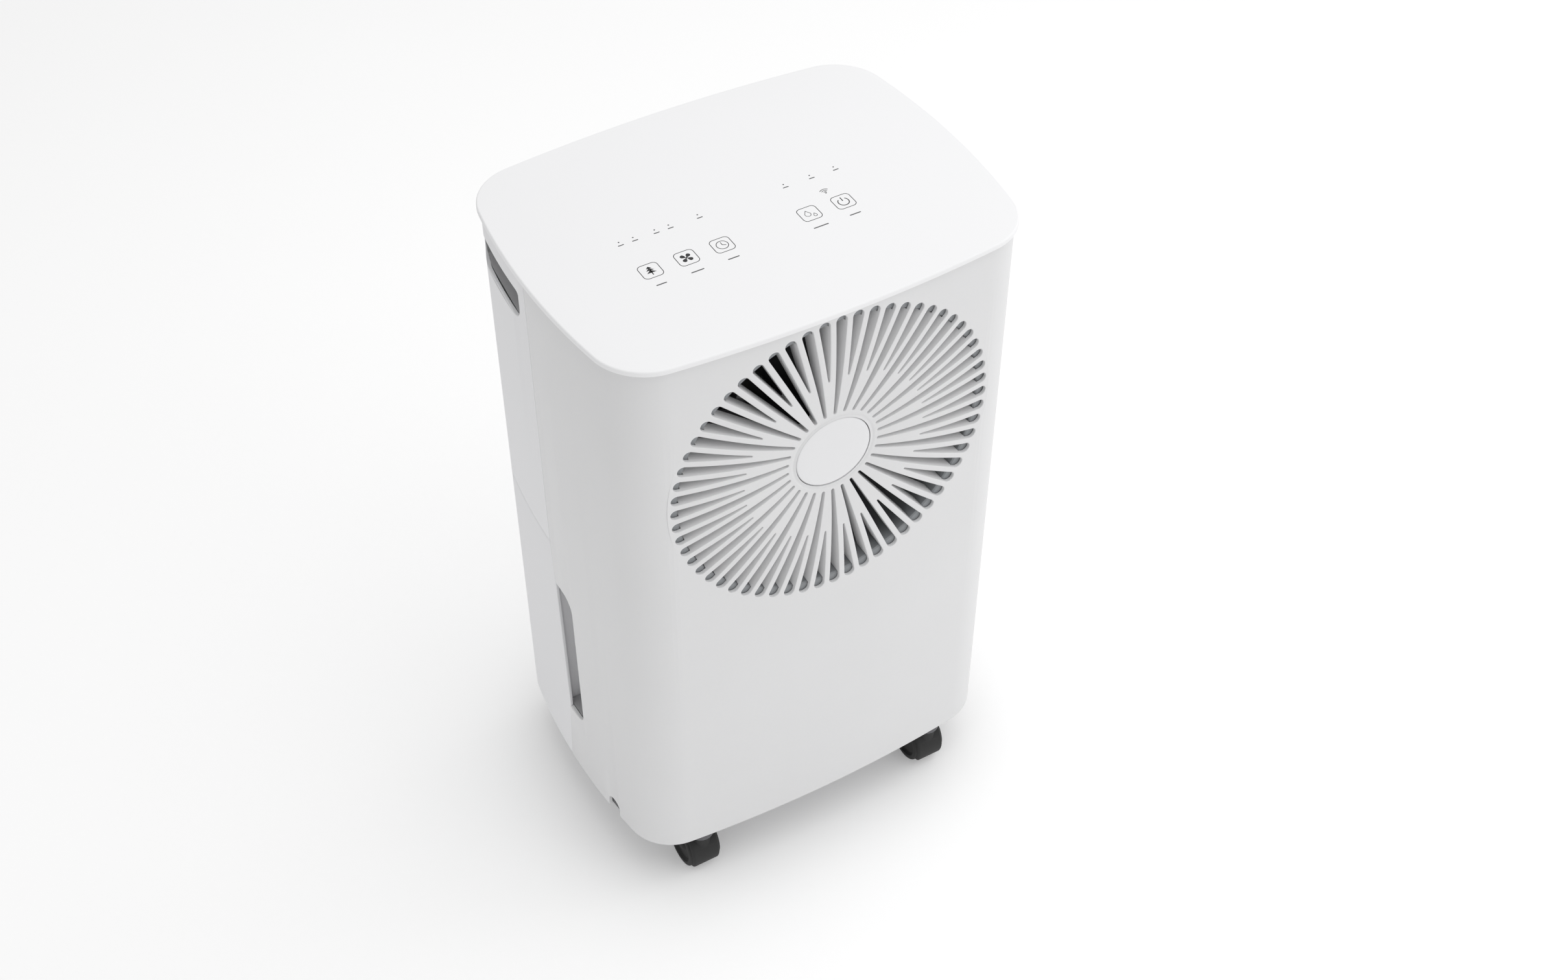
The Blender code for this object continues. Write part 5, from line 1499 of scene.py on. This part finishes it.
@dataclass
class Intake(SubAssembly):
    """Louvred inlet frame in the back, with slanting slats."""

    border: float = 0.012
    columns: int = 2
    bar: float = 0.006
    slats: int = 14

    def build(self) -> None:
        """Builds the frame and its slats."""
        low, high = box_of("intake_grille")
        outer, inner = PLAN.overhang + 0.0006, PLAN.inside
        stations = [low.x + (high.x - low.x) * i / 24 for i in range(25)]
        loops = []
        for x in stations:
            near, far = self.back_y(x, inner), self.back_y(x, outer)
            loops.append([(x, far, low.z), (x, near, low.z), (x, near, high.z), (x, far, high.z)])
        plate = ease(loft("inlet_frame", loops), 0.0006, 2)
        windows = []
        width = (high.x - low.x - 2 * self.border - self.bar) / self.columns
        window_low, window_high = low.z + self.border, high.z - self.border
        spans = [(low.x + self.border + k * (width + self.bar), width) for k in range(self.columns)]
        for k, (x, wide) in enumerate(spans):
            outline = rounded(rectangle((x, window_low), (x + wide, window_high)), (0.002,) * 4, 4)
            windows.append(extrusion(f"window{k}", outline, high.y - 0.03, high.y + 0.01, "Y"))
        carve(plate, *windows)
        pitch = (window_high - window_low) / self.slats
        slats = [self.slat(x - 0.001, x + wide + 0.001, window_low + pitch * (n + 0.5))
                 for x, wide in spans for n in range(self.slats)]
        self.fit(join("inlet_louvres", [plate, *slats]), Coat.CASING_WHITE, "filter_frame", "casing_white",
                 "intake_grille")

    @staticmethod
    def back_y(x: float, inset: float) -> float:
        """Y of the back wall at an inset."""
        return PLAN.half_depth - inset - PLAN.sag(x, inset)

    def slat(self, left: float, right: float, z: float) -> bpy.types.Object:
        """One slat that slopes down and outwards and follows the wall."""
        loops = []
        for i in range(9):
            x = left + (right - left) * i / 8
            out, into = self.back_y(x, PLAN.overhang + 0.0009), self.back_y(x, PLAN.inside - 0.0001)
            loops.append([(x, out, z - 0.0026), (x, out + 0.0001, z - 0.0019), (x, out, z - 0.0013),
                          (x, into, z + 0.0026), (x, into, z + 0.0012)])
        return loft("slat", loops)


@dataclass
class DrainPlug(SubAssembly):
    """Rubber bung of the hose outlet, with a rolled head."""

    def build(self) -> None:
        """Builds the plug."""
        low, high = box_of("drain_plug")
        z = (low.z + high.z) / 2
        head = high.y - 0.0021
        profile = [(0.0, high.y), (0.0074, high.y)]
        profile += arc((0.0078, high.y - 0.0012), 0.0012, math.pi / 2, 0, 5)
        profile += [(0.0090, head), (0.0062, head), (0.0059, head - 0.002), (0.0062, head - 0.004),
                    (0.0059, head - 0.006), (0.0050, low.y), (0.0, low.y)]
        plug = lathe("hose_plug", profile, (0, 0, z), "Y", 56)
        self.fit(plug, Coat.RUBBER, "plug", "rubber", "drain_plug")


@dataclass
class Castor(SubAssembly):
    """One castor: hood on a stem, axle and twin wheels.

    Attributes:
        name: Name of its body.
    """

    name: str
    hood_radius: float = 0.0225
    half_width: float = 0.0127
    hood_wall: float = 0.0014
    edge: float = 0.0026
    web: float = 0.0032
    wheel_radius: float = 0.020
    wheel_width: float = 0.0106
    trail: float = 0.012
    collar_radius: float = 0.008
    stem_radius: float = 0.004
    pin_radius: float = 0.002
    running_gap: float = 0.0005

    def build(self) -> None:
        """Builds the hood, the axle and both wheels."""
        low, high = box_of(f"{self.name}_axle")
        at = (low + high) / 2
        stem = box_of(f"{self.name}_body")
        self.fit(self.hood(at, at.y - self.trail, stem[1].z), Coat.CASTOR_BLACK, self.name, "castor_black",
                 f"{self.name}_body")
        axle = rod(f"{self.name}_pin", self.pin_radius, low.x, high.x, (0, at.y, at.z), "X", 32, 0.0003)
        self.fit(axle, Coat.STEEL, self.name, "steel", f"{self.name}_axle")
        for side, label in ((-1, "wheel_left"), (1, "wheel_right")):
            wheel = self.wheel(f"{self.name}_{label}_tyre", at, side)
            body = f"{self.name}_{label}"
            self.fit(wheel, Coat.CASTOR_BLACK, body, "castor_black", body)

    def hood(self, at: Vector, stem_y: float, stem_top: float) -> bpy.types.Object:
        """The hood with rolled sides, its middle web, and the collar and stem over it."""
        first, last = math.radians(205), math.radians(35)
        outer, thin = self.hood_radius, self.hood_wall
        section = [(self.half_width - self.edge * (1 - math.sin(t)), outer - self.edge * (1 - math.cos(t)))
                   for t in (math.pi / 2 * i / 6 for i in range(7))]
        side_low = outer - self.edge - 0.002
        section += [(self.half_width - thin * 0.2, side_low), (self.half_width - thin, side_low),
                    (self.half_width - thin, outer - self.edge)]
        section += [(self.half_width - self.edge, outer - thin)]
        section += [(-x, r) for x, r in reversed(section)]
        loops = []
        for i in range(33):
            turn = first + (last - first) * i / 32
            loops.append([(at.x + x, at.y + r * math.cos(turn), at.z + r * math.sin(turn))
                          for x, r in section])
        hood = loft(f"{self.name}_hood", loops)
        web = arc((at.y, at.z), outer - thin / 2, first - 0.1, last + 0.1, 28)
        web += [(at.y + 0.009, at.z - 0.002), (at.y + 0.004, at.z - 0.0062), (at.y, at.z - 0.007),
                (at.y - 0.012, at.z - 0.010)]
        plate = extrusion("web", web, at.x - self.web, at.x + self.web, "X")
        collar_top = box_of("base_pan")[0].z - self.running_gap
        collar = rod("collar", self.collar_radius, at.z, collar_top, (at.x, stem_y, 0), "Z", 48, 0.0004)
        carve(collar, rod("cutter", outer - thin / 2, at.x - 0.02, at.x + 0.02, (0, at.y, at.z), "X", 96))
        stem = rod("stem", self.stem_radius, collar_top - 0.001, stem_top, (at.x, stem_y, 0), "Z", 32, 0.0004)
        bore = rod("bore", self.pin_radius + self.running_gap, at.x - 0.02, at.x + 0.02,
                   (0, at.y, at.z), "X", 32)
        return carve(fuse(hood, plate, collar, stem), bore)

    def wheel(self, name: str, at: Vector, side: int) -> bpy.types.Object:
        """One wheel with a crowned tread, a recessed face, a hub boss and a bore."""
        inside = self.web + self.running_gap
        face, radius = inside + self.wheel_width, self.wheel_radius
        profile = [(0.0, face - 0.0004), (0.0040, face - 0.0006), (0.0052, face - 0.0014),
                   (0.0060, face - 0.0026), (0.0140, face - 0.0026), (0.0152, face - 0.0016),
                   (0.0158, face - 0.0003), (0.0166, face)]
        profile += [(r, h) for r, h in arc((radius - 0.0020, face - 0.0020), 0.0020, math.pi / 2, 0, 5)]
        profile += [(radius, inside + 0.0016), (radius - 0.0008, inside + 0.0004), (radius - 0.002, inside),
                    (0.0025, inside), (0.0025, face - 0.0018), (0.0, face - 0.0018)]
        wheel = lathe(name, [(r, side * h) for r, h in profile], (at.x, at.y, at.z), "X", 72)
        return wheel


@dataclass
class Works(SubAssembly):
    """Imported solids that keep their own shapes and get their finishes, with eased edges.

    Attributes:
        coats: The finish of each material slot.
        eased: Width of the edge rounding on each solid that takes one.
    """

    coats: dict[str, Coat] = field(default_factory=lambda: {coat.value.name: coat for coat in Coat})
    eased: dict[str, float] = field(default_factory=lambda: {
        "base_pan": 0.0008, "mid_shelf": 0.0004, "fan_bulkhead": 0.0005, "fan_motor": 0.0004,
        "motor_bracket": 0.0003, "compressor": 0.0004, "accumulator": 0.0015, "run_capacitor": 0.0012,
        "drip_tray": 0.0003, "grip_cup_left": 0.0006, "grip_cup_right": 0.0006,
        "cord_inlet": 0.0008, "ioniser": 0.0010, "air_filter": 0.0004,
        "touch_board": 0.0002, "power_board": 0.0002, "filter_drier": 0.0015, "tank_lid": 0.0004,
        "tank_float": 0.0006, "uv_lamp": 0.0006, "humidity_sensor": 0.0008, "reed_switch": 0.0008,
        "grommet_1": 0.0010, "grommet_2": 0.0010, "grommet_3": 0.0010})

    def build(self) -> None:
        """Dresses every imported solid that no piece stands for."""
        slots = {row["node"]: row["material_slot"] for row in frame["record"]["subparts"]}
        shown = [name for name in sorted(frame["nodes"]) if not frame["nodes"][name].hide_render]
        for name in shown:
            node, slot = frame["nodes"][name], slots[name]
            node.data.materials.clear()
            node.data.materials.append(self.coats[slot].material)
            if name in self.eased:
                ease(node, self.eased[name], 2, 45, keep=True)
            logger.info("Works: %s in %s", name, slot)


@dataclass
class Studio:
    """Pale floor, soft lights and the camera.

    Attributes:
        camera_at: The camera's place.
        azimuth: Turn of its view to the right of +Y, in degrees.
        elevation: How far it looks down, in degrees.
        roll: Its roll, in degrees.
        lens: Focal length in millimetres on a 36 mm sensor.
    """

    camera_at: Point = (-0.5884, -1.0484, 1.4970)
    azimuth: float = 30.602
    elevation: float = 45.036
    roll: float = 0.301
    lens: float = 49.12
    floor_grey: float = 0.93
    floor_glow: float = 0.20
    world_strength: float = 0.55

    def build(self) -> None:
        """Builds the floor, the world, the lights and the camera."""
        self.floor()
        self.world()
        self.light("overhead", (0.55, -0.25, 2.6), (0, 0, 0.2), 3.0, 30.0)
        self.light("front_fill", (1.1, -2.0, 1.1), (0, 0, 0.2), 1.8, 5.0)
        self.light("right_fill", (2.4, -0.4, 1.1), (0, 0, 0.2), 1.6, 6.0)
        self.camera()
        view = bpy.context.scene.view_settings
        view.view_transform = "Standard"
        view.look = "None"

    def floor(self) -> None:
        """A wide pale floor."""
        plane = loft("floor", [level(rectangle((-9, -9), (9, 9)), z) for z in (-0.02, 0.0)])
        made = bpy.data.materials.new("floor_paper")
        tree = Tree(made)
        cloud = tree.noise(2.5, 2.0)
        grey = self.floor_grey
        tree.give(Base_Color=tree.mix(cloud, (grey - 0.006,) * 3, (grey + 0.006,) * 3),
                  Roughness=cloud * 0.1 + 0.5, Specular_IOR_Level=0.25, Emission_Strength=self.floor_glow,
                  Emission_Color=(1.0, 1.0, 1.0, 1))
        plane.data.materials.append(made)
        plane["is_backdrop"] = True

    def world(self) -> None:
        """An even white surround."""
        world = bpy.data.worlds.new("surround")
        world.use_nodes = True
        background = world.node_tree.nodes["Background"]
        background.inputs["Color"].default_value = (1.0, 1.0, 1.0, 1)
        background.inputs["Strength"].default_value = self.world_strength
        bpy.context.scene.world = world

    def light(self, name: str, at: Point, target: Point, size: float, power: float) -> None:
        """One square soft light that faces a target."""
        data = bpy.data.lights.new(name, "AREA")
        data.size = size
        data.energy = power
        lamp = bpy.data.objects.new(name, data)
        lamp.location = at
        lamp.rotation_euler = (Vector(target) - Vector(at)).to_track_quat("-Z", "Y").to_euler()
        bpy.context.scene.collection.objects.link(lamp)

    def camera(self) -> None:
        """The camera, from its place, direction and roll."""
        turn, tilt, roll = (math.radians(a) for a in (self.azimuth, self.elevation, self.roll))
        ahead = Vector((math.sin(turn) * math.cos(tilt), math.cos(turn) * math.cos(tilt), -math.sin(tilt)))
        right = Vector((math.cos(turn), -math.sin(turn), 0))
        up = right.cross(ahead)
        right_rolled = right * math.cos(roll) + up * math.sin(roll)
        up_rolled = up * math.cos(roll) - right * math.sin(roll)
        data = bpy.data.cameras.new("camera")
        data.lens = self.lens
        data.sensor_width = 36.0
        data.clip_end = 50.0
        camera = bpy.data.objects.new("camera", data)
        bpy.context.scene.collection.objects.link(camera)
        basis = Matrix((right_rolled, up_rolled, -ahead)).transposed().to_4x4()
        camera.matrix_world = Matrix.Translation(self.camera_at) @ basis
        bpy.context.scene.camera = camera


def write_sizes() -> None:
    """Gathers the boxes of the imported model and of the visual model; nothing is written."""
    boxes = {"cad": CAD_BOX, "visual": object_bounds()}
    {name: [list(corner) for corner in ends] for name, ends in boxes.items()}


def main() -> None:
    """Builds every sub-assembly, then the studio."""
    logging.basicConfig(level=logging.INFO, format="%(message)s", force=True)
    assemblies: list[SubAssembly] = [FrontShell(), Outlet(), FanUnit(), RearShell(), HandCups(), Lid(),
                                     Tank(), Intake(), DrainPlug()]
    assemblies += [Castor(f"castor_{end}_{side}") for end in ("front", "back") for side in ("left", "right")]
    assemblies.append(Works())
    for assembly in assemblies:
        assembly.build()
    Studio().build()
    write_sizes()


if __name__ == "__main__":
    main()
